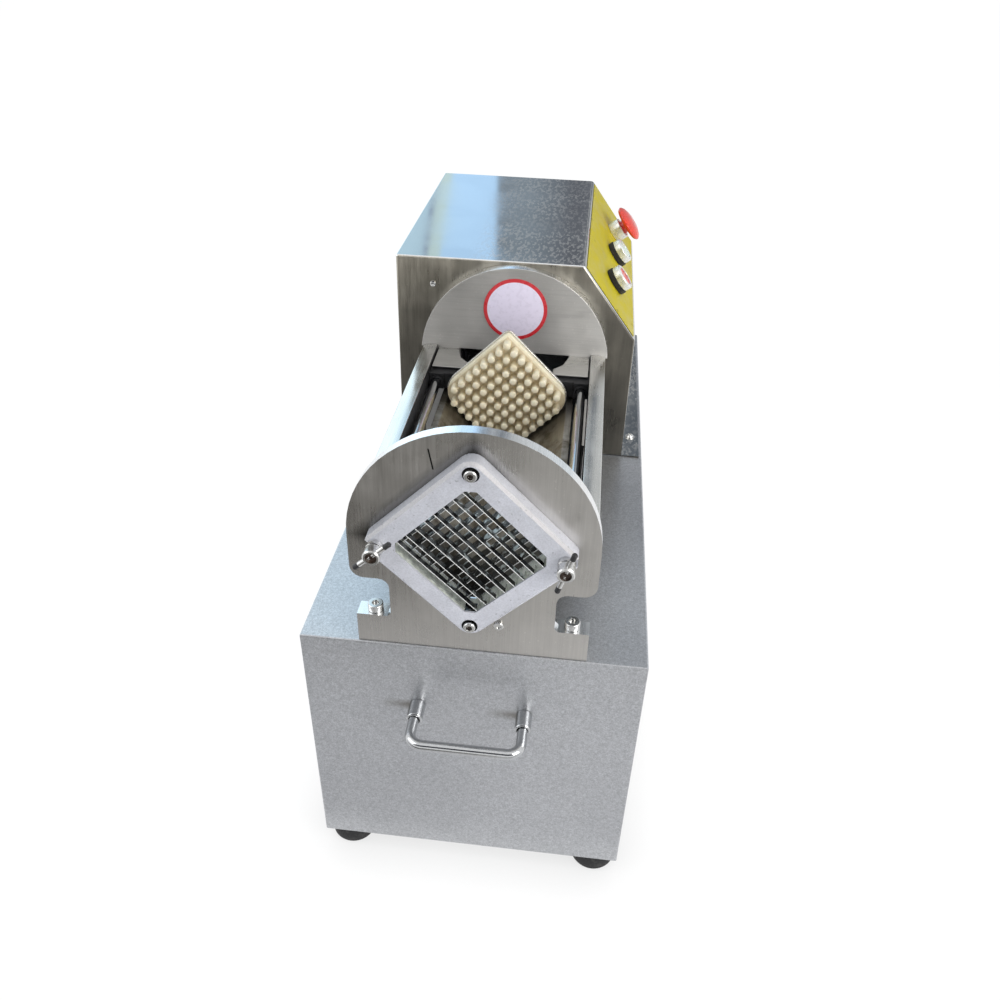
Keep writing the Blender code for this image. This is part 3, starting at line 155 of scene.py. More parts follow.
class FryCutterSizes(bpy.types.PropertyGroup):
    peg_radius: length("Peg radius", "Radius of a pusher peg", 0.0035)
    peg_pitch: length("Peg pitch", "Distance between pegs, as between blades", 0.0103)
    screw_radius: length("Screw radius", "Head radius of the housing's screws", 0.0044)
    tip_length: length("Tip length", "Dark sleeve on the ends of a nut's cross bar", 0.0060)


class FryCutterSettings(bpy.types.PropertyGroup):
    colours: PointerProperty(type=FryCutterColours)
    sizes: PointerProperty(type=FryCutterSizes)


def colours():
    return bpy.context.scene.fry_cutter.colours


def sizes():
    return bpy.context.scene.fry_cutter.sizes


# Materials

CLOUDY = {"detail": 4.0, "rough": 0.6}


def add_node(tree, kind, links=None, **settings):
    """Adds a node, its inputs linked where a socket is given and set where a value is."""
    made = tree.nodes.new(kind)
    for key, value in settings.items():
        setattr(made, key, value)
    for key, value in (links or {}).items():
        if isinstance(value, bpy.types.NodeSocket):
            tree.links.new(value, made.inputs[key])
        else:
            made.inputs[key].default_value = value
    return made


class Finish:
    """A Principled material under construction: what varies is added, then done() wires it."""

    def __init__(self, name, colour, roughness, metallic=0.0, more=()):
        self.material = bpy.data.materials.new(name)
        self.material.use_nodes = True
        self.tree = self.material.node_tree
        self.shader = self.tree.nodes["Principled BSDF"]
        values = {"Base Color": (*colour, 1), "Roughness": roughness, "Metallic": metallic}
        for key, value in {**values, **dict(more)}.items():
            self.shader.inputs[key].default_value = value
        self.colour, self.roughness, self.metallic = colour, roughness, metallic
        self.paint = self.rough = self.normal = self.metal = None
        self.place = self.node("ShaderNodeTexCoord").outputs["Object"]

    def node(self, kind, links=None, **settings):
        return add_node(self.tree, kind, links, **settings)

    def noise(self, scale, stretch=(1, 1, 1), detail=3.0, rough=0.5, turn=(0, 0, 0)):
        """Noise on Object coordinates, stretched for a brushed grain."""
        links = {"Vector": self.place, "Scale": stretch, "Rotation": turn}
        mapped = self.node("ShaderNodeMapping", links).outputs[0]
        links = {"Vector": mapped, "Scale": scale, "Detail": detail, "Roughness": rough}
        return self.node("ShaderNodeTexNoise", links).outputs["Fac"]

    def span(self, value, low, high, start=0.35, end=0.65):
        """A value taken from start..end to low..high."""
        links = {"Value": value, "From Min": start, "From Max": end, "To Min": low, "To Max": high}
        return self.node("ShaderNodeMapRange", links).outputs["Result"]

    def math(self, operation, first, second=0.0):
        return self.node("ShaderNodeMath", {0: first, 1: second}, operation=operation).outputs[0]

    def times(self, first, second):
        return self.math("MULTIPLY", first, second)

    def along(self, axis, origin=0.0):
        """The place along an axis, counted from an origin."""
        parts = self.node("ShaderNodeSeparateXYZ", {0: self.place})
        return self.math("SUBTRACT", parts.outputs[axis], origin)

    def off(self, axis, origin=0.0):
        """The distance along an axis from an origin, on either side."""
        return self.math("ABSOLUTE", self.along(axis, origin))

    def from_axis(self):
        """How far a place lies from the cutting square's axis, measured across its slopes."""
        return self.times(self.math("ADD", self.off("X"), self.off("Z", AXIS_Z)), sqrt(0.5))

    def gain(self, value):
        """Multiplies the colour by a value."""
        links = {0: self.paint or self.colour, "Scale": value}
        self.paint = self.node("ShaderNodeVectorMath", links, operation="SCALE").outputs[0]
        return self

    def shade(self, value, low, high, start=0.35, end=0.65):
        """Darkens and lightens the colour by a pattern."""
        return self.gain(self.span(value, low, high, start, end))

    def spread(self, value, colour, start, end):
        """Lays another colour where a pattern is high."""
        mask = self.span(value, 0, 1, start, end)
        mixed = self.node("ShaderNodeMix", {0: mask, 7: (*colour, 1)}, data_type="RGBA")
        if self.paint:
            self.tree.links.new(self.paint, mixed.inputs[6])
        else:
            mixed.inputs[6].default_value = (*self.colour, 1)
        self.paint = mixed.outputs[2]
        return self

    def dull(self, value, low, high, start=0.35, end=0.65):
        """Varies the roughness by a pattern."""
        gain = self.span(value, low, high, start, end)
        self.rough = self.times(self.rough or self.roughness, gain)
        return self

    def bump(self, value, strength, distance=0.0002):
        """Adds fine relief from a pattern."""
        links = {"Height": value, "Strength": strength, "Distance": distance}
        if self.normal:
            links["Normal"] = self.normal
        self.normal = self.node("ShaderNodeBump", links).outputs[0]
        return self

    def film(self, value, low=0.0):
        """Lets a dry film hide the metal where a pattern is high."""
        self.metal = self.span(value, self.metallic, low, 0.0, 1.0)
        return self

    def worn(self, value, shade, dull, relief, distance=0.0001):
        """Varies colour, roughness and relief by one pattern, and gives the material."""
        return self.shade(value, *shade).dull(value, *dull).bump(value, relief, distance).done()

    def done(self):
        """Wires what was varied and gives the material."""
        made = {"Base Color": self.paint, "Roughness": self.rough,
                "Metallic": self.metal, "Normal": self.normal}
        for name, value in made.items():
            if value:
                self.tree.links.new(value, self.shader.inputs[name])
        return self.material


def once(make):
    """Keeps a material, so that every piece of one finish shares it."""
    kept = {}

    def get(*args):
        if args not in kept:
            kept[args] = make(*args)
        return kept[args]
    return get


@once
def grained_steel():
    """The cabinet's sand-grained sheet, with a painted shadow left of each post of the handle and
    painted shade towards the bottom.
    """
    finish = Finish("grained_steel", colours().cabinet, 0.34, 0.82)
    grain = finish.noise(900, detail=2.0)
    coarse = finish.noise(330)
    cloud = finish.noise(9, detail=2.0)
    finish.shade(grain, 0.80, 1.18, 0.30, 0.70).shade(coarse, 0.93, 1.07).shade(cloud, 0.96, 1.04)
    # Painted shade: the sheet grows darker towards the bottom.
    finish.shade(finish.along("Z"), 0.93, 1.0, 0.03, 0.16)
    # Painted shadows: a dark band left of each post of the handle, on the front face only.
    front = finish.span(finish.along("Y", FRONT_Y), 0.75, 0, 0.001, 0.002)
    for side in SIDES:
        low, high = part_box(f"handle_ferrule_{side}")
        middle_z = (low.z + high.z) / 2 - 0.0015
        away = finish.times(finish.along("X", low.x), -1)
        after = finish.span(away, 1, 0, 0.001, 0.030)
        before = finish.span(away, 0, 1, -0.009, -0.007)
        narrow = finish.span(finish.off("Z", middle_z), 1, 0, 0.001, 0.0075)
        blotch = finish.times(finish.times(after, before), finish.times(narrow, front))
        finish.spread(blotch, (0.17, 0.155, 0.13), 0, 1)
    return finish.dull(cloud, 0.9, 1.12).bump(grain, 0.22).done()


def brushed(name, tone, axis, roughness=0.26, metallic=1.0):
    """Brushed steel with its grain along an axis, smudges and fine bright specks, to be wired."""
    finish = Finish(name, getattr(colours(), tone), roughness, metallic)
    stretch = tuple(0.025 if way == axis else 1.0 for way in "xyz")
    grain = finish.noise(900, stretch, 2.0)
    smudge = finish.noise(14, **CLOUDY)
    speck = finish.noise(420, detail=2.0)
    finish.shade(grain, 0.96, 1.04).shade(smudge, 0.92, 1.06).shade(speck, 1.0, 1.15, 0.66, 0.74)
    return finish.dull(grain, 0.92, 1.10).dull(smudge, 0.80, 1.25).bump(grain, 0.025, 0.0001)


@once
def brushed_steel(tone, axis):
    return brushed(f"brushed_steel_{tone}_{axis}", tone, axis).done()


@once
def front_plate_steel():
    """The front plate, with painted shade in the lee of the holder and a scribed mark on the left.
    """
    finish = brushed("front_plate_steel", "plates", "z", 0.30)
    low, high = HOLDER
    outside = finish.span(finish.along("Y", high.y), 1, 0, 0.001, 0.002)
    # Painted shade along the holder's upper left edges, for its shadow and its dark reflection in
    # the plate.
    rim = (high.z - low.z) / 2 * sqrt(0.5) + 0.0035
    near = finish.span(finish.from_axis(), 0.86, 0.0, rim - 0.002, rim + 0.010)
    lee = finish.math("SUBTRACT", finish.along("Z", AXIS_Z), finish.along("X"))
    holder_shade = finish.times(near, finish.span(lee, 0.10, 1.0, -0.02, 0.06))
    finish.gain(finish.math("SUBTRACT", 1.0, finish.times(holder_shade, outside)))
    slant = finish.times(finish.along("Z", MARK_Z), MARK_SLANT)
    beside = finish.math("ABSOLUTE", finish.math("SUBTRACT", finish.along("X", MARK_X), slant))
    line = finish.span(beside, 1, 0, 0.0004, 0.0009)
    mark = finish.times(line, finish.span(finish.off("Z", MARK_Z), 1, 0, 0.008, 0.010))
    return finish.spread(finish.times(mark, outside), (0.02, 0.02, 0.02), 0.3, 0.8).done()


@once
def rear_plate_steel():
    """The rear plate: duller, under a dry, starchy film, with painted shading that makes it darker
    on the left and lighter on the right.
    """
    finish = brushed("rear_plate_steel", "plates", "x", 0.42, 0.5)
    # Painted sheen: darker on the left, lighter on the right.
    return finish.gain(finish.span(finish.along("X"), 0.72, 1.08, -0.07, 0.09)).done()


@once
def polished_steel():
    """The housing's sheet: nearly a mirror, mottled and scuffed right of the top's middle."""
    finish = Finish("polished_steel", colours().housing, 0.09, 1.0)
    mottle = finish.noise(320, (1, 0.38, 1), 3.0, 0.6)
    patch = finish.noise(11, detail=2.0)
    scuff = finish.noise(60, (0.10, 1, 1), 4.0, 0.6, (0, 0, 0.3))
    blotch = finish.noise(16)
    spot = finish.span(mottle, 0, 0.42, 0.50, 0.56)
    splash = finish.times(spot, finish.span(patch, 0.5, 1, 0.40, 0.52))
    right = finish.span(finish.along("X"), 0, 1, -0.055, -0.025)
    streak = finish.span(scuff, 0, 0.4, 0.66, 0.76)
    dried = finish.times(finish.math("MAXIMUM", splash, streak), right)
    finish.shade(blotch, 0.94, 1.05).spread(dried, (0.50, 0.50, 0.49), 0.0, 1.0).film(dried)
    return finish.dull(blotch, 0.7, 1.5).bump(blotch, 0.01, 0.0001).done()


@once
def stained_steel():
    """The housing's front: dull, with upright smears, and paler under its top edge."""
    finish = brushed("stained_steel", "front", "z", 0.33)
    blotch = finish.noise(26, (1, 1, 0.22), 4.0, 0.65)
    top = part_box("housing_shell")[1].z
    finish.shade(blotch, 0.82, 1.14).shade(finish.along("Z", top), 0.84, 2.2, -0.06, -0.008)
    return finish.dull(blotch, 0.8, 1.3).done()


@once
def used_steel():
    """The trough: brownish, stained, scratched along the feed, and darkened at both ends by painted
    shade.
    """
    finish = Finish("used_steel", colours().trough, 0.38, 1.0)
    scratch = finish.noise(700, (1, 0.02, 1), 2.0)
    stain = finish.noise(24, detail=5.0, rough=0.65)
    front, back = (corner.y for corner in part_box("feed_trough"))
    pale = finish.noise(31, detail=4.0, rough=0.6, turn=(1, 0, 0))
    finish.shade(scratch, 0.88, 1.12).spread(stain, (0.16, 0.14, 0.11), 0.46, 0.60)
    finish.spread(pale, (0.62, 0.60, 0.55), 0.52, 0.72)
    # Painted shade: darker towards the back, under the pusher.
    finish.shade(finish.along("Y"), 1.0, 0.5, back - 0.15, back)
    # Painted shade: much darker near the front, where it is seen through the blades.
    finish.shade(finish.along("Y"), 0.22, 1.0, front + 0.030, front + 0.075)
    return finish.dull(stain, 0.85, 1.4).bump(scratch, 0.08, 0.0001).done()


@once
def cast_aluminium(tone):
    """The blade holder's pitted casting: its flats, and its duller chamfers, darkened as painted
    shade.
    """
    rough, metallic = (0.44, 0.45) if tone == "holder" else (0.62, 0.2)
    finish = Finish(f"cast_aluminium_{tone}", getattr(colours(), tone), rough, metallic)
    grain = finish.noise(850)
    cloud = finish.noise(30, **CLOUDY)
    pit = finish.noise(330, detail=1.0)
    finish.shade(grain, 0.92, 1.06).shade(cloud, 0.93, 1.05).shade(pit, 1.0, 0.72, 0.68, 0.76)
    return finish.dull(cloud, 0.85, 1.2).bump(grain, 0.14, 0.0002).done()


@once
def chrome():
    """The handle's and the guide rods' plating, smeared and finely scuffed."""
    finish = Finish("chrome", colours().chrome, 0.07, 1.0)
    blotch = finish.noise(60)
    scuff = finish.noise(500, (1, 1, 0.2), 2.0)
    return finish.dull(blotch, 0.7, 2.2).shade(scuff, 0.95, 1.03).bump(scuff, 0.015, 0.0001).done()


@once
def satin_chrome():
    """Bezels and collars: pale plating with a soft shine."""
    finish = Finish("satin_chrome", (0.80, 0.81, 0.80), 0.30, 0.7)
    return finish.worn(finish.noise(220), (0.92, 1.04), (0.8, 1.3), 0.03)


@once
def oiled_recess():
    """The dark brown hollow in the end of a nut or a screw: oil, darkened further as painted shade.
    """
    finish = Finish("oiled_recess", (0.045, 0.030, 0.022), 0.30, 0.4)
    return finish.worn(finish.noise(400), (0.7, 1.5), (0.7, 1.4), 0.05)


@once
def bright_steel():
    """Turned and ground steel: rods, screws, nuts and pins."""
    finish = Finish("bright_steel", (0.68, 0.68, 0.67), 0.18, 1.0)
    turning = finish.noise(1300, (1, 0.15, 1), 2.0)
    stain = finish.noise(90)
    finish.shade(stain, 0.86, 1.05).dull(stain, 0.8, 1.6)
    return finish.bump(turning, 0.05, 0.0001).done()


@once
def blade_steel():
    """The blades' flanks: steel darkened as painted shade in the cells, with pale patches painted
    as reflections on wet spots.
    """
    # The flanks' colour is far darker than steel's, as painted shade in the cells.
    finish = Finish("blade_steel", colours().blades, 0.20, 1.0)
    grind = finish.noise(1500, (1, 0.1, 1), 2.0)
    wet_sheen = finish.noise(75, rough=0.6)
    finish.shade(wet_sheen, 0.35, 1.2, 0.40, 0.60).dull(wet_sheen, 0.7, 1.8)
    # Pale patches painted as reflections on wet spots.
    finish.spread(wet_sheen, (0.70, 0.74, 0.74), 0.57, 0.62)
    return finish.bump(grind, 0.05, 0.0001).done()


@once
def starched_wall():
    """The walls round the blades, under a pale film and whitened further as a painted reflection.
    """
    finish = Finish("starched_wall", colours().starch, 0.5)
    return finish.worn(finish.noise(160, **CLOUDY), (0.62, 1.12), (0.8, 1.3), 0.08)


@once
def honed_edge():
    """The blades' edges, painted pale as a highlight, with small nicks."""
    finish = Finish("honed_edge", colours().honed, 0.34)
    return finish.worn(finish.noise(600, detail=2.0), (0.86, 1.04), (0.9, 1.2), 0.03)


@once
def dark_steel():
    """Blackened steel, worn in places: the carriage and the pinion; also painted shade on the
    rails' inner sides and in the holder's screw pockets.
    """
    finish = Finish("dark_steel", colours().dark, 0.42, 0.6)
    wear = finish.noise(120, **CLOUDY)
    grain = finish.noise(1000, detail=2.0)
    finish.shade(wear, 0.8, 1.5).dull(wear, 0.8, 1.3)
    return finish.bump(grain, 0.08).done()


@once
def nylon():
    """Ivory nylon, stained in places, with painted shade: browner between the pegs towards their
    roots, and darker towards the bottom.
    """
    soft = {"Subsurface Weight": 0.05, "Subsurface Radius": (0.003, 0.002, 0.001)}
    finish = Finish("nylon", colours().nylon, 0.45, more=soft)
    low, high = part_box("pusher_block")
    field = 4 * sizes().peg_pitch + sizes().peg_radius
    inside = finish.span(finish.from_axis(), 1, 0, field, field + 0.0012)
    # Painted shade: browner between the pegs, deeper towards their roots.
    deep = finish.span(finish.along("Y"), 0, 1, low.y + 0.0045, high.y - BLOCK_T)
    darkening = finish.times(inside, deep)
    stain = finish.noise(70, **CLOUDY)
    grain = finish.noise(900, detail=2.0)
    finish.shade(grain, 0.96, 1.03).spread(stain, (0.72, 0.60, 0.38), 0.52, 0.80)
    finish.spread(darkening, (0.56, 0.45, 0.28), 0.05, 1.5)
    # Painted shade: darker towards the bottom.
    finish.shade(finish.along("Z", AXIS_Z), 0.84, 1.06, -0.06, 0.05)
    return finish.dull(stain, 0.9, 1.3).bump(grain, 0.06).done()


@once
def rubber():
    """Dusty black rubber."""
    finish = Finish("rubber", colours().rubber, 0.72)
    grain = finish.noise(800, detail=2.0)
    dust = finish.noise(60, **CLOUDY)
    finish.shade(grain, 0.8, 1.25).spread(dust, (0.09, 0.085, 0.08), 0.55, 0.85)
    return finish.bump(grain, 0.12).done()


@once
def black_plastic():
    """Moulded black plastic with a fine grain."""
    finish = Finish("black_plastic", (0.018, 0.018, 0.02), 0.45)
    return finish.worn(finish.noise(1200, detail=2.0), (0.85, 1.2), (0.9, 1.15), 0.05, 0.0002)


@once
def gloss_plastic(tone):
    """Moulded push-button plastic, with fine wear."""
    coat = {"Coat Weight": 0.3, "Coat Roughness": 0.12}
    finish = Finish(f"gloss_plastic_{tone}", getattr(colours(), tone), 0.28, more=coat)
    return finish.worn(finish.noise(160, **CLOUDY), (0.93, 1.04), (0.8, 1.5), 0.02)


@once
def label_sheet():
    """The plain label: printed film with rubbed and greasy places."""
    finish = Finish("label_sheet", colours().label, 0.46, more={"Specular IOR Level": 0.3})
    rub = finish.noise(45, (1, 0.5, 1), 5.0, 0.65)
    darkening = finish.noise(110)
    finish.shade(rub, 0.90, 1.06).spread(darkening, (0.16, 0.14, 0.03), 0.68, 0.80)
    return finish.dull(rub, 0.75, 1.5).bump(rub, 0.03, 0.0001).done()


@once
def disc_print(height):
    """A pale disc with one printed ring and nothing else."""
    finish = Finish("disc_print", colours().disc, 0.30)
    settings = {"Vector": finish.place, "Location": (0, 0, -height), "Scale": (1, 0, 1)}
    centred = finish.node("ShaderNodeMapping", settings)
    reach = finish.node("ShaderNodeVectorMath", {0: centred.outputs[0]}, operation="LENGTH")
    away = finish.math("ABSOLUTE", finish.math("SUBTRACT", reach.outputs["Value"], RING_R))
    mottle = finish.noise(260, detail=2.0)
    finish.shade(mottle, 0.97, 1.02).spread(away, colours().disc_rim, RING_HALF, RING_HALF - 0.0002)
    return finish.dull(mottle, 0.85, 1.2).bump(mottle, 0.02, 0.0001).done()


@once
def machine_paint():
    """Grimy sprayed paint on the gearbox and the motor."""
    finish = Finish("machine_paint", colours().paint, 0.5)
    peel = finish.noise(500, detail=2.0)
    grime = finish.noise(30, **CLOUDY)
    finish.shade(grime, 0.8, 1.1)
    return finish.dull(grime, 0.8, 1.2).bump(peel, 0.10).done()


# Modelling helpers

def deselect():
    bpy.ops.object.select_all(action="DESELECT")


def select_mesh():
    bpy.ops.mesh.select_all(action="SELECT")


def alone(piece):
    """Makes one piece the only selected one."""
    if bpy.context.mode != "OBJECT":
        bpy.ops.object.mode_set(mode="OBJECT")
    deselect()
    bpy.context.view_layer.objects.active = piece
    piece.select_set(True)
    return piece


def edit(piece, select=None, kind="faces"):
    """Opens a piece in edit mode and selects what the test picks, or nothing."""
    alone(piece)
    bpy.ops.object.mode_set(mode="EDIT")
    modes = {"faces": "FACE", "edges": "EDGE", "verts": "VERT"}
    bpy.ops.mesh.select_mode(type=modes[kind])
    bpy.ops.mesh.select_all(action="DESELECT")
    if select:
        shape = bmesh.from_edit_mesh(piece.data)
        for item in getattr(shape, kind):
            if select(item):
                item.select_set(True)
        bmesh.update_edit_mesh(piece.data)


def close_edit():
    bpy.ops.object.mode_set(mode="OBJECT")


def modified(piece, kind, **settings):
    """Applies a modifier to the active piece."""
    made = piece.modifiers.new(kind, kind)
    for key, value in settings.items():
        setattr(made, key, value)
    bpy.ops.object.modifier_apply(modifier=made.name)


def settle(piece, body, finish, *nodes, angle=35):
    """Puts the piece's place into its mesh, shades it, gives it its finish and its body."""
    alone(piece)
    bpy.ops.object.transform_apply()
    piece.data.materials.clear()
    piece.data.materials.append(finish)
    bpy.ops.object.shade_smooth_by_angle(angle=radians(angle))
    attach(piece, body)
    if nodes:
        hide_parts(*nodes)
    return piece


def dressed(node, finish, rim, segments=2, angle=35):
    """A closed copy of a solid with rounded rims, standing for it."""
    source = frame["nodes"][node]
    piece = bpy.data.objects.new(f"{node}_finished", source.data.copy())
    bpy.context.scene.collection.objects.link(piece)
    edit(piece)
    select_mesh()
    bpy.ops.mesh.remove_doubles(threshold=MERGE)
    bpy.ops.mesh.dissolve_limited(angle_limit=FLAT)
    close_edit()
    if rim:
        modified(piece, "BEVEL", width=rim, segments=segments, angle_limit=radians(angle))
    settle(piece, source["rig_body"], finish, node, angle=angle)
    modified(piece, "WEIGHTED_NORMAL", keep_sharp=True)
    return piece


def faced(piece, finish, test):
    """Gives the faces that a test picks a finish of their own."""
    piece.data.materials.append(finish)
    edit(piece, test)
    piece.active_material_index = len(piece.data.materials) - 1
    bpy.ops.object.material_slot_assign()
    close_edit()
    return piece


def towards(axis):
    """The turn that takes +Z to a direction."""
    return Vector((0, 0, 1)).rotation_difference(Vector(axis)).to_euler()


def lathe(name, steps, place, axis=(0, 0, 1), vertices=40):
    """A turned piece: a disc extruded and resized step by step, from (radius, height) pairs."""
    radius, height = steps[0]
    deselect()
    bpy.ops.mesh.primitive_circle_add(vertices=vertices, radius=radius, fill_type="NGON",
                                      location=(0, 0, 0))
    piece = bpy.context.object
    piece.name = name
    edit(piece, lambda face: True)
    bpy.ops.transform.translate(value=(0, 0, height))
    for new_radius, new_height in steps[1:]:
        rise = (0, 0, new_height - height)
        bpy.ops.mesh.extrude_region_move(TRANSFORM_OT_translate={"value": rise})
        share = new_radius / radius
        bpy.ops.transform.resize(value=(share, share, 1))
        radius, height = new_radius, new_height
    select_mesh()
    bpy.ops.mesh.normals_make_consistent(inside=False)
    close_edit()
    piece.rotation_euler = towards(axis)
    piece.location = place
    return piece


def joined(name, pieces):
    """Joins pieces into one object, each still a closed body."""
    deselect()
    for piece in pieces:
        piece.select_set(True)
    bpy.context.view_layer.objects.active = pieces[0]
    bpy.ops.object.join()
    pieces[0].name = name
    return pieces[0]


def copied(piece, place, turn):
    """A copy with its own mesh, moved to a place and turned."""
    twin = piece.copy()
    twin.data = piece.data.copy()
    twin.location = place
    twin.rotation_euler = turn
    bpy.context.scene.collection.objects.link(twin)
    return twin


def middle(node):
    """The middle of a solid's box."""
    low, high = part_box(node)
    return (low + high) / 2


# Stage

SKY, PALE_SKY, HAZE = (0.44, 0.66, 0.92), (0.72, 0.88, 0.98), (0.43, 0.60, 0.72)
WALL, DARK, SIDE = (0.19, 0.23, 0.27), (0.11, 0.12, 0.14), (0.36, 0.37, 0.375)
PANE, LINE, SHADE = (0.50, 0.64, 0.64), (0.24, 0.31, 0.42), (0.08, 0.08, 0.09)
BEHIND, AHEAD = FRONT_Y + 2.6, FRONT_Y - 1.7
NEAR, FAR, LOW = FRONT_Y - 0.36, FRONT_Y - 2.8, 0.002

# What the metal reflects: name, corners, strength, lean, and colours from left to right
CARDS = (
    ("back_card", (-3.4, BEHIND, 0.35), (2.6, BEHIND, 3.8), 1.75, 0.0, (
        (-3.4, PALE_SKY), (-0.9, PALE_SKY), (-0.75, HAZE), (-0.5, HAZE), (-0.47, SKY), (-0.28, SKY),
        (-0.25, WALL), (-0.15, WALL), (0.0, DARK), (0.06, DARK), (0.10, SIDE), (0.20, SIDE),
        (0.27, (0.10, 0.115, 0.135)), (0.52, (0.12, 0.135, 0.155)), (0.65, SIDE), (1.1, SIDE),
        (2.6, (0.5, 0.56, 0.6)))),
    ("window_card", (-0.56, BEHIND - 0.01, 0.85), (0.06, BEHIND - 0.01, 1.55), 1.75, 0.0, (
        (-0.56, SKY), (-0.270, SKY), (-0.264, WALL), (-0.15, WALL), (0.0, DARK), (0.06, DARK))),
    ("pane_card", (-0.80, BEHIND - 0.02, 0.85), (-0.455, BEHIND - 0.02, 1.55), 1.75, -0.17, (
        (-0.80, HAZE), (-0.520, HAZE), (-0.516, LINE), (-0.502, LINE), (-0.498, PANE),
        (-0.455, PANE))),
    ("front_card", (-2.5, AHEAD, 0.9), (2.5, AHEAD, 2.3), 1.0, 0.0, (
        (-2.5, (0.4, 0.4, 0.4)), (-0.6, SHADE), (0.7, SHADE), (2.5, (0.5, 0.5, 0.5)))),
    ("near_card", (-1.4, NEAR, LOW), (1.4, FRONT_Y - 0.03, LOW), 1.0, 0.0, (
        (-1.4, (0.62, 0.62, 0.63)), (-0.1, (0.66, 0.66, 0.67)), (0.2, (0.80, 0.80, 0.81)),
        (1.4, (0.9, 0.9, 0.9)))),
    ("far_card", (-1.4, FAR, LOW), (1.4, NEAR, LOW), 1.0, 0.0, (
        (-1.4, (0.17, 0.165, 0.155)), (-0.22, (0.18, 0.175, 0.165)), (-0.02, (0.40, 0.395, 0.38)),
        (0.045, (0.60, 0.60, 0.59)), (0.12, (0.56, 0.56, 0.56)), (1.4, (0.7, 0.7, 0.7)))),
)


def card(name, low, high, stops, strength, lean):
    """A panel that only shiny surfaces reflect, coloured from left to right by its stops."""
    deselect()
    size = Vector(high) - Vector(low)
    lying = size.z == 0
    centre = (Vector(low) + Vector(high)) / 2
    turn = (0 if lying else pi / 2, lean, 0)
    bpy.ops.mesh.primitive_plane_add(size=1, location=centre, rotation=turn)
    panel = bpy.context.object
    panel.name = name
    panel.scale = (size.x, size.y if lying else size.z, 1)
    material = bpy.data.materials.new(name)
    material.use_nodes = True
    tree = material.node_tree
    tree.nodes.remove(tree.nodes["Principled BSDF"])
    place = add_node(tree, "ShaderNodeTexCoord").outputs["Object"]
    across = add_node(tree, "ShaderNodeSeparateXYZ", {0: place}).outputs["X"]
    share = add_node(tree, "ShaderNodeMath", {0: across, 1: 0.5}, operation="ADD").outputs[0]
    ramp = add_node(tree, "ShaderNodeValToRGB", {0: share})
    light = add_node(tree, "ShaderNodeEmission", {0: ramp.outputs[0], 1: strength})
    tree.links.new(light.outputs[0], tree.nodes["Material Output"].inputs["Surface"])
    steps = ramp.color_ramp.elements
    while len(steps) > 1:
        steps.remove(steps[-1])
    for index, (x, tone) in enumerate(stops):
        position = (x - low[0]) / size.x
        step = steps.new(position) if index else steps[0]
        step.position = position
        step.color = (*tone, 1)
    panel.data.materials.append(material)
    for ray in ("camera", "diffuse", "shadow", "transmission", "volume_scatter"):
        setattr(panel, f"visible_{ray}", False)


def lamp(name, place, target, size, energy, colour):
    """A square lamp turned to a target."""
    light = bpy.data.lights.new(name, "AREA")
    light.size, light.energy, light.color = size, energy, colour
    thing = bpy.data.objects.new(name, light)
    thing.location = place
    thing.rotation_euler = (Vector(target) - Vector(place)).to_track_quat("-Z", "Y").to_euler()
    bpy.context.scene.collection.objects.link(thing)


def shown_rays(tree):
    """1 where the camera, a reflection or a view through glass looks."""
    rays = add_node(tree, "ShaderNodeLightPath").outputs
    shown = rays["Is Camera Ray"]
    for name in ("Is Glossy Ray", "Is Transmission Ray"):
        links = {0: shown, 1: rays[name]}
        shown = add_node(tree, "ShaderNodeMath", links, operation="MAXIMUM").outputs[0]
    return shown


def make_world():
    """White where it is looked at, and a softer light on rough surfaces."""
    world = bpy.data.worlds.new("pale_room")
    bpy.context.scene.world = world
    world.use_nodes = True
    tree = world.node_tree
    white = tree.nodes["Background"]
    white.inputs["Color"].default_value = (1, 1, 1, 1)
    links = {"Color": (0.93, 0.96, 1.0, 1), "Strength": 0.55}
    soft = add_node(tree, "ShaderNodeBackground", links)
    links = {0: shown_rays(tree), 1: soft.outputs[0], 2: white.outputs[0]}
    mix = add_node(tree, "ShaderNodeMixShader", links)
    tree.links.new(mix.outputs[0], tree.nodes["World Output"].inputs["Surface"])


def make_floor():
    """A pale sheet, white where it is looked at but for a faint shadow under the machine."""
    deselect()
    bpy.ops.mesh.primitive_plane_add(size=60, location=(0, 0, 0))
    floor = bpy.context.object
    floor.name = "floor"
    finish = Finish("floor_sheet", (0.93, 0.93, 0.93), 0.9)
    grain = finish.noise(20, detail=2.0)
    floor.data.materials.append(finish.shade(grain, 0.99, 1.01).done())
    tree = finish.tree
    corner = finish.node("ShaderNodeAmbientOcclusion", {"Distance": 0.07}).outputs["AO"]
    links = {"Color": finish.span(corner, 0.80, 1.0, 0.35, 0.95), "Strength": 1.06}
    white = finish.node("ShaderNodeEmission", links).outputs[0]
    links = {0: finish.times(shown_rays(tree), 0.9), 1: finish.shader.outputs[0], 2: white}
    mix = finish.node("ShaderNodeMixShader", links)
    tree.links.new(mix.outputs[0], tree.nodes["Material Output"].inputs["Surface"])


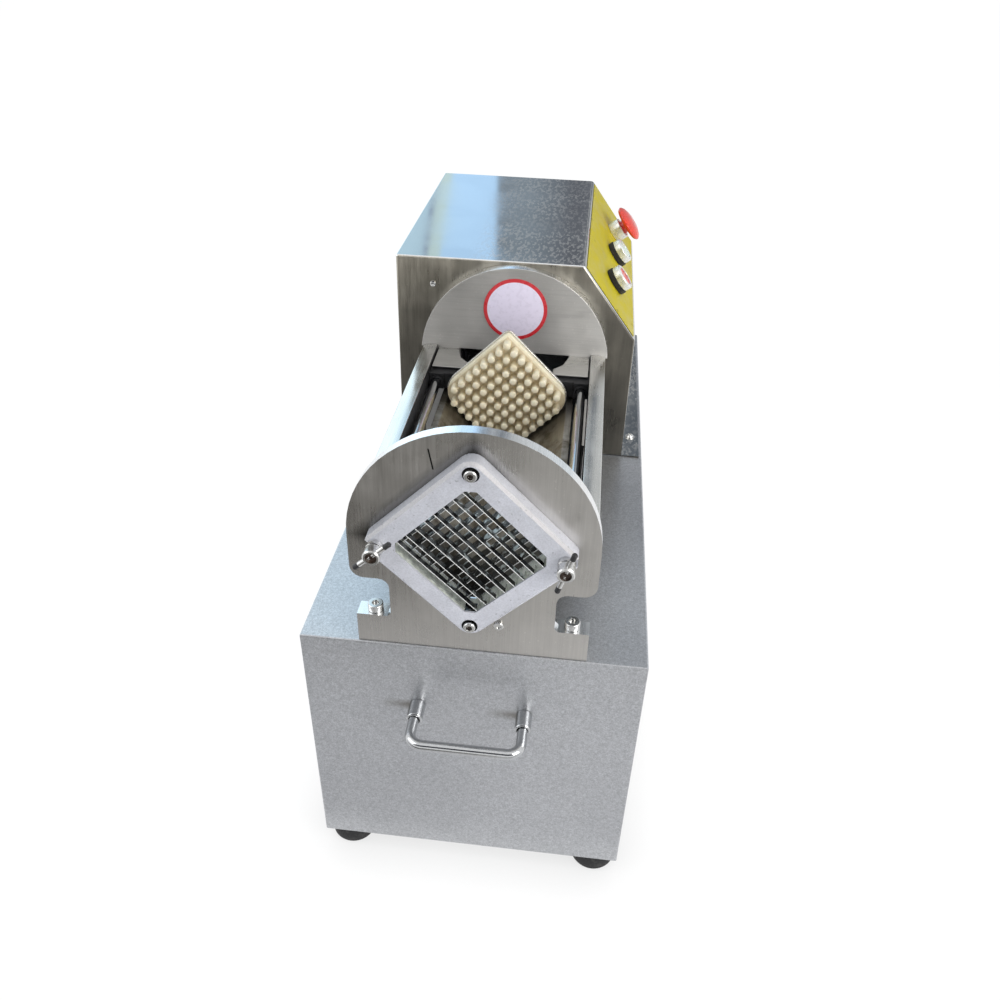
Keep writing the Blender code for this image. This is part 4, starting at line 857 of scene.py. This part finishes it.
def make_camera():
    """The photograph's camera, its turns taken one after the other: yaw, pitch, roll."""
    camera = bpy.data.objects.new("camera", bpy.data.cameras.new("camera"))
    bpy.context.scene.collection.objects.link(camera)
    camera.data.lens = CAMERA_LENS
    camera.data.sensor_width = 36
    camera.data.clip_start = 0.01
    yaw, pitch, roll = CAMERA_YAW, CAMERA_PITCH, CAMERA_ROLL
    ahead = Vector((-sin(yaw) * cos(pitch), cos(yaw) * cos(pitch), -sin(pitch)))
    right = Vector((cos(yaw), sin(yaw), 0))
    above = right.cross(ahead)
    side = cos(roll) * right + sin(roll) * above
    top = cos(roll) * above - sin(roll) * right
    turn = Matrix((side, top, -ahead)).transposed().to_4x4()
    camera.matrix_world = Matrix.Translation(CAMERA_PLACE + Vector((0, FRONT_Y, 0))) @ turn
    bpy.context.scene.camera = camera


class FRYCUTTER_OT_stage(bpy.types.Operator):
    """Add the photograph's camera, the world, the floor, the lamps and the reflected cards"""
    bl_idname = "frycutter.stage"
    bl_label = "Stage"

    def execute(self, context):
        make_camera()
        make_world()
        make_floor()
        bpy.context.scene.view_settings.view_transform = "Standard"
        lamp("key", (1.7, FRONT_Y - 1.0, 1.5), (0, 0, 0.35), 1.3, 34, (1.0, 0.98, 0.95))
        lamp("fill", (-1.9, FRONT_Y - 0.5, 1.6), (0, 0, 0.3), 1.8, 16, (0.92, 0.96, 1.0))
        for name, low, high, strength, lean, stops in CARDS:
            card(name, low, high, stops, strength, lean)
        return {"FINISHED"}


# Cabinet

def rubber_feet():
    """Turned rubber feet, each with its stud and nut."""
    for end in ("front", "rear"):
        for side in SIDES:
            node = f"foot_{end}_{side}"
            low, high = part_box(node)
            outer = (high.x - low.x) / 2
            top, nut, stud = 0.0217, 0.0238, 0.0040
            steps = [(0.0085, 0.0045), (0.0090, 0.0), (outer - 0.0040, 0.0),
                     (outer - 0.0016, 0.0010), (outer - 0.0003, 0.0034), (outer, 0.0070),
                     (outer, top - 0.0035), (outer - 0.0012, top - 0.0010), (outer - 0.0032, top),
                     (stud, top), (stud, nut), (0.0068, nut), (0.0068, nut + 0.0065),
                     (stud, nut + 0.0065), (stud, high.z)]
            foot = lathe(f"{node}_finished", steps, (*middle(node).xy, 0), vertices=56)
            settle(foot, "frame", rubber(), node)


def handle_tube():
    """A chrome tube: extruded, then spun round each corner."""
    low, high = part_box("handle_bar")
    radius = (high.z - low.z) / 2
    bend = HANDLE_BEND
    x, level, front = low.x + radius, (low.z + high.z) / 2, low.y + radius
    deselect()
    bpy.ops.mesh.primitive_circle_add(vertices=32, radius=radius, fill_type="NGON",
                                      location=(x, high.y, level), rotation=(pi / 2, 0, 0))
    tube = bpy.context.object
    tube.name = "handle_bar_finished"
    bpy.ops.object.transform_apply()
    edit(tube, lambda face: True)
    reach = high.y - front - bend
    corner = {"steps": 10, "angle": -pi / 2, "axis": (0, 0, 1)}
    bpy.ops.mesh.extrude_region_move(TRANSFORM_OT_translate={"value": (0, -reach, 0)})
    bpy.ops.mesh.spin(center=(x + bend, front + bend, level), **corner)
    bpy.ops.mesh.extrude_region_move(TRANSFORM_OT_translate={"value": (-2 * (x + bend), 0, 0)})
    bpy.ops.mesh.spin(center=(-x - bend, front + bend, level), **corner)
    bpy.ops.mesh.extrude_region_move(TRANSFORM_OT_translate={"value": (0, reach, 0)})
    select_mesh()
    bpy.ops.mesh.remove_doubles(threshold=2 * MERGE)
    bpy.ops.mesh.normals_make_consistent(inside=False)
    close_edit()
    settle(tube, "frame", chrome(), "handle_bar", angle=60)


class FRYCUTTER_OT_cabinet(bpy.types.Operator):
    """Finish the cabinet, its feet, its handle and its cable gland"""
    bl_idname = "frycutter.cabinet"
    bl_label = "Cabinet"

    def execute(self, context):
        dressed("base_cabinet", grained_steel(), 0.0, angle=20)
        dressed("base_bottom_plate", brushed_steel("rails", "y"), 0.0)
        rubber_feet()
        handle_tube()
        for side in SIDES:
            dressed(f"handle_ferrule_{side}", chrome(), 0.0003)
        dressed("cable_gland", black_plastic(), 0.0003)
        return {"FINISHED"}


# Front plate and grid

def clamp_nut(side):
    """A grooved nut with a hollow end, its cross bar and the bar's dark sleeves."""
    node = f"clamp_nut_{side}"
    rod = middle(f"guide_rod_{side}")
    front, back = (corner.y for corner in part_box(node))
    long, radius, groove = back - front, NUT_R, NUT_R - NUT_GROOVE
    steps = [(0.0034, 0.0), (radius, 0.0), (radius, 0.0042), (groove, 0.0047), (groove, 0.0054),
             (radius, 0.0059), (radius, long - 0.0010), (radius - 0.0010, long),
             (radius * 0.66, long), (radius * 0.60, long - 0.0018), (0.0016, long - 0.0018),
             (0.0013, long - 0.0006)]
    nut = lathe(f"{node}_finished", steps, (rod.x, back, rod.z), (0, -1, 0), 40)
    settle(nut, f"clamp_{side}", bright_steel(), node)

    def hollow(face):
        place = face.calc_center_median()
        off = (place - Vector((rod.x, place.y, rod.z))).length
        return place.y < back - long / 2 and off < radius * 0.64
    faced(nut, oiled_recess(), hollow)
    angle = radians(BAR_ANGLES[side])
    along = Vector((cos(angle), 0, sin(angle)))
    centre = Vector((rod.x, front + 0.0035, rod.z))
    half, thin, sleeve = BAR_HALF, BAR_R, sizes().tip_length
    steps = [(thin, sleeve - half), (thin, half - sleeve)]
    bar = lathe(f"clamp_bar_{side}", steps, centre, along, 24)
    settle(bar, f"clamp_{side}", bright_steel())
    steps = [(thin, half - sleeve), (thin, half - 0.0010), (thin - 0.0007, half - 0.0001),
             (0.0004, half)]
    tips = [lathe(f"clamp_tip_{side}", steps, centre, along * way, 24) for way in (-1, 1)]
    settle(joined(f"clamp_tips_{side}", tips), f"clamp_{side}", black_plastic())


def neck_screw():
    """A small socket screw in the front plate's neck, right of the holder's lowest corner."""
    radius, high = 0.0042, 0.0022
    steps = [(radius, 0.0), (radius, high - 0.0006), (radius - 0.0006, high),
             (radius * 0.52, high), (radius * 0.48, high * 0.45)]
    place = (NECK_SCREW_X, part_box("front_plate")[0].y, NECK_SCREW_Z)
    settle(lathe("neck_screw", steps, place, (0, -1, 0), 36), "frame", bright_steel())


def bright_rim(plate):
    """Lightens the arched rim of a round plate, as a painted highlight."""
    def rim(face):
        return face.normal.z > 0.1 and abs(face.normal.y) < 0.4
    faced(plate, brushed_steel("rims", "y"), rim)


def pockets():
    """A test for the faces that line the pockets of the holder's screws."""
    front = HOLDER[0].y + 0.0004
    screws = [middle(f"holder_screw_{end}").xz for end in ("top", "bottom")]

    def inside(face):
        place = face.calc_center_median()
        return place.y > front and min((place.xz - screw).length for screw in screws) < POCKET_R
    return inside


def shortened(blades):
    """Takes the back off the front set's blades, between the walls of its frame."""
    low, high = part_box("blade_set_front")
    start, end = low.y + BLADE_SHOWN, high.y + 0.001
    centre = (0, (start + end) / 2, AXIS_Z)
    deselect()
    bpy.ops.mesh.primitive_cube_add(size=1, location=centre, rotation=(0, pi / 4, 0))
    block = bpy.context.object
    block.scale = (2 * BLADES_HALF, end - start, 2 * BLADES_HALF)
    bpy.ops.object.transform_apply()
    edit(block, lambda edge: abs(edge.verts[0].co.y - edge.verts[1].co.y) > 0.001, "edges")
    bpy.ops.mesh.bevel(offset=BLADES_CORNER, segments=1, affect="EDGES")
    close_edit()
    alone(blades)
    modified(blades, "BOOLEAN", operation="DIFFERENCE", object=block, solver="EXACT")
    bpy.data.objects.remove(block)


def blade_set(node, ground):
    """A set of blades with flanks darkened as painted shade, edges painted pale as a highlight
    where faces look ahead, and walls under a pale film whitened as a painted reflection.
    """
    blades = dressed(node, blade_steel(), 0.0)
    if node == "blade_set_front":
        shortened(blades)
    faced(blades, honed_edge(), lambda face: face.normal.y < ground)

    def wall(face):
        place = face.calc_center_median()
        reach = abs(place.x) + abs(place.z - AXIS_Z)
        return abs(face.normal.y) < 0.1 and reach > sqrt(2) * BLADES_HALF
    faced(blades, starched_wall(), wall)


class FRYCUTTER_OT_front(bpy.types.Operator):
    """Finish the front plate, the blade holder, the blades and the clamps"""
    bl_idname = "frycutter.front"
    bl_label = "Front Plate and Grid"

    def execute(self, context):
        def chamfer(face):
            return face.normal.z > 0.1 and 0.2 < -face.normal.y < 0.985
        bright_rim(dressed("front_plate", front_plate_steel(), 0.0008))
        holder = dressed("blade_holder", cast_aluminium("holder"), 0.0009, 3, 30)
        # The chamfers get a darker copy of the holder's finish, as painted shade.
        faced(holder, cast_aluminium("chamfer"), chamfer)
        # Painted shade: the walls of the screw pockets get the dark steel.
        faced(holder, dark_steel(), pockets())
        blade_set("blade_set_front", -0.9)
        blade_set("blade_set_rear", -0.05)
        for side in SIDES:
            clamp_nut(side)
            dressed(f"front_plate_bolt_{side}", bright_steel(), 0.0002)
        for end in ("top", "bottom"):
            screw = dressed(f"holder_screw_{end}", bright_steel(), 0.0002)
            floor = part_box(f"holder_screw_{end}")[0].y + 0.0025

            def recess(face):
                return face.normal.y < -0.9 and face.calc_center_median().y > floor
            faced(screw, oiled_recess(), recess)
        neck_screw()
        return {"FINISHED"}


# Rails, rods and trough

class FRYCUTTER_OT_slide(bpy.types.Operator):
    """Finish the rails, guide rods, trough, cradle and rod guards"""
    bl_idname = "frycutter.slide"
    bl_label = "Rails and Trough"

    def execute(self, context):
        for side, sign in SIDES.items():
            rail = dressed(f"rail_{side}", brushed_steel("rails", "y"), 0.0005)
            # Painted shade: the rail's inner side gets the dark steel.
            faced(rail, dark_steel(), lambda face: face.normal.x * sign < -0.9)
            dressed(f"guide_rod_{side}", chrome(), 0.0)
            dressed(f"rod_guard_{side}", brushed_steel("rails", "x"), 0.0003)
        dressed("feed_trough", used_steel(), 0.0003)
        dressed("trough_cradle", dark_steel(), 0.0004)
        return {"FINISHED"}


# Rear plate and housing

def flange_screws():
    """Four screws with washers along the housing's flanges."""
    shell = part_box("housing_shell")
    seat = DECK_Z + GAP + FLANGE_T
    radius = sizes().screw_radius
    wide = radius + 0.0014
    pieces = []
    for x in (shell[0].x + SCREW_INSET, shell[1].x - SCREW_INSET):
        for y in SCREW_YS:
            place = (x, FRONT_Y + y, seat)
            steps = [(0.0026, 0.0), (wide, 0.0), (wide, 0.0006), (0.0026, 0.0006)]
            pieces.append(lathe("washer", steps, place, vertices=28))
            steps = [(0.0020, -0.0012), (0.0020, 0.0007), (radius, 0.0007), (radius, 0.0014)]
            steps += [(radius * 0.8, 0.0026), (radius * 0.45, 0.0031), (radius * 0.42, 0.0018)]
            pieces.append(lathe("screw", steps, place, vertices=28))
    settle(joined("housing_screws", pieces), "frame", bright_steel())


def front_rivet():
    """A dimpled rivet on the housing's front."""
    place = (RIVET_X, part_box("housing_shell")[0].y, RIVET_Z)
    steps = [(0.0032, 0.0), (0.0030, 0.0007), (0.0018, 0.0012), (0.0009, 0.0009)]
    settle(lathe("housing_rivet", steps, place, (0, -1, 0), 28), "frame", bright_steel())


class FRYCUTTER_OT_housing(bpy.types.Operator):
    """Finish the rear plate, the round disc and the drive housing"""
    bl_idname = "frycutter.housing"
    bl_label = "Rear Plate and Housing"

    def execute(self, context):
        def fold(face):
            return -0.9 < face.normal.y < -0.15 and face.normal.z > 0.2
        bright_rim(dressed("rear_plate", rear_plate_steel(), 0.0020, 4))
        disc = middle("round_disc")
        steps = [(0.0330, 0.0), (0.0330, 0.0003), (0.0328, 0.0004)]
        place = (0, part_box("round_disc")[1].y, disc.z)
        round_disc = lathe("round_disc_finished", steps, place, (0, -1, 0), 96)
        settle(round_disc, "frame", disc_print(round(disc.z, 5)), "round_disc")
        shell = dressed("housing_shell", polished_steel(), 0.0, angle=25)
        faced(shell, stained_steel(), lambda face: face.normal.y < -0.9)
        # The fold gets the lighter rim steel, as a painted highlight.
        faced(shell, brushed_steel("rims", "x"), fold)
        dressed("housing_back_panel", brushed_steel("housing", "x"), 0.0)
        flange_screws()
        front_rivet()
        return {"FINISHED"}


# Controls

class FRYCUTTER_OT_controls(bpy.types.Operator):
    """Finish the control panel, its push buttons and the emergency stop"""
    bl_idname = "frycutter.controls"
    bl_label = "Controls"

    def execute(self, context):
        dressed("panel_label", label_sheet(), 0.0)
        for name in ("stop", "start"):
            dressed(f"{name}_button_gasket", rubber(), 0.0006)
            dressed(f"{name}_button_bezel", satin_chrome(), 0.0003)
            dressed(f"{name}_button_cap", gloss_plastic(name), 0.0003)
            frame["nodes"][f"{name}_button_contact"].data.materials[0] = black_plastic()
        frame["nodes"]["estop_contact"].data.materials[0] = black_plastic()
        dressed("estop_collar", satin_chrome(), 0.0003)
        dressed("estop_plunger", gloss_plastic("stop"), 0.0003)
        dressed("estop_head", gloss_plastic("stop"), 0.0004)
        return {"FINISHED"}


# Pusher

def peg_block():
    """The pegged block: a plate of nylon and its flat-ended pegs."""
    low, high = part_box("pusher_block")
    plate_front = high.y - BLOCK_T
    radius, pitch = sizes().peg_radius, sizes().peg_pitch
    long = plate_front - low.y
    steps = [(radius, -0.0010), (radius, long - 0.0010), (radius - 0.0003, long - 0.0004),
             (radius - 0.0009, long)]
    first = lathe("peg", steps, (0, plate_front, AXIS_Z), (0, -1, 0), 20)
    turn = first.rotation_euler.copy()
    pegs = [slab("pusher_block", plate_front)]
    reach = range(-4, 5)
    for a in reach:
        for b in reach:
            if abs(a - b) < 8:
                across, up = (a - b) * pitch * sqrt(0.5), (a + b) * pitch * sqrt(0.5)
                pegs.append(copied(first, (across, plate_front, AXIS_Z + up), turn))
    bpy.data.objects.remove(first)
    settle(joined("pusher_block_finished", pegs), "pusher", nylon(), "pusher_block", angle=40)


def slab(node, front):
    """The flat part of a solid, bisected from what stands out of it and closed again."""
    piece = bpy.data.objects.new(f"{node}_slab", frame["nodes"][node].data.copy())
    bpy.context.scene.collection.objects.link(piece)
    edit(piece)
    select_mesh()
    bpy.ops.mesh.remove_doubles(threshold=MERGE)
    cut = front + 0.0006
    bpy.ops.mesh.bisect(plane_co=(0, cut, 0), plane_no=(0, -1, 0), clear_outer=True, use_fill=True)
    select_mesh()
    bpy.ops.mesh.dissolve_limited(angle_limit=FLAT)
    close_edit()
    edit(piece, lambda vert: vert.co.y < cut + 0.0001, "verts")
    bpy.ops.transform.translate(value=(0, front - cut, 0))
    close_edit()
    modified(piece, "BEVEL", width=0.0008, segments=3)
    return piece


class FRYCUTTER_OT_pusher(bpy.types.Operator):
    """Finish the pegged pusher and its carriage"""
    bl_idname = "frycutter.pusher"
    bl_label = "Pusher and Carriage"

    def execute(self, context):
        peg_block()
        dressed("pusher_plate", brushed_steel("rails", "x"), 0.0003)
        dressed("carriage", dark_steel(), 0.0005)
        for side in SIDES:
            dressed(f"carriage_bush_{side}", black_plastic(), 0.0002)
        dressed("rack_pin", bright_steel(), 0.0003)
        return {"FINISHED"}


# Drive

class FRYCUTTER_OT_drive(bpy.types.Operator):
    """Finish the rack, its pinion and guide, the gearbox, the motor and the electrics"""
    bl_idname = "frycutter.drive"
    bl_label = "Drive"

    def execute(self, context):
        dressed("rack", brushed_steel("rails", "z"), 0.0)
        dressed("pinion", dark_steel(), 0.0)
        dressed("rack_guide", brushed_steel("rails", "y"), 0.0005)
        dressed("output_shaft", bright_steel(), 0.0004)
        for node in ("gearbox", "motor_body", "fan_cover"):
            dressed(node, machine_paint(), 0.0004)
        dressed("motor_rotor", bright_steel(), 0.0)
        dressed("contactor_unit", black_plastic(), 0.0)
        return {"FINISHED"}


class FRYCUTTER_PT_panel(bpy.types.Panel):
    """Lists the steps that dress the french fry cutter"""
    bl_idname = "FRYCUTTER_PT_panel"
    bl_label = "French Fry Cutter"
    bl_space_type = "VIEW_3D"
    bl_region_type = "UI"
    bl_category = "Fry Cutter"

    def draw(self, context):
        settings = context.scene.fry_cutter
        for group in (settings.colours, settings.sizes):
            column = self.layout.column(align=True)
            for name in group.__annotations__:
                column.prop(group, name)
        for step in STEPS:
            self.layout.operator(step.bl_idname)


STEPS = (FRYCUTTER_OT_stage, FRYCUTTER_OT_cabinet, FRYCUTTER_OT_front, FRYCUTTER_OT_slide,
         FRYCUTTER_OT_housing, FRYCUTTER_OT_controls, FRYCUTTER_OT_pusher, FRYCUTTER_OT_drive)
CLASSES = (FryCutterColours, FryCutterSizes, FryCutterSettings, *STEPS, FRYCUTTER_PT_panel)


def register():
    for item in CLASSES:
        bpy.utils.register_class(item)
    bpy.types.Scene.fry_cutter = PointerProperty(type=FryCutterSettings)


def unregister():
    del bpy.types.Scene.fry_cutter
    for item in reversed(CLASSES):
        bpy.utils.unregister_class(item)


def main():
    register()
    for step in STEPS:
        group, name = step.bl_idname.split(".")
        getattr(getattr(bpy.ops, group), name)()


if __name__ == "__main__":
    main()
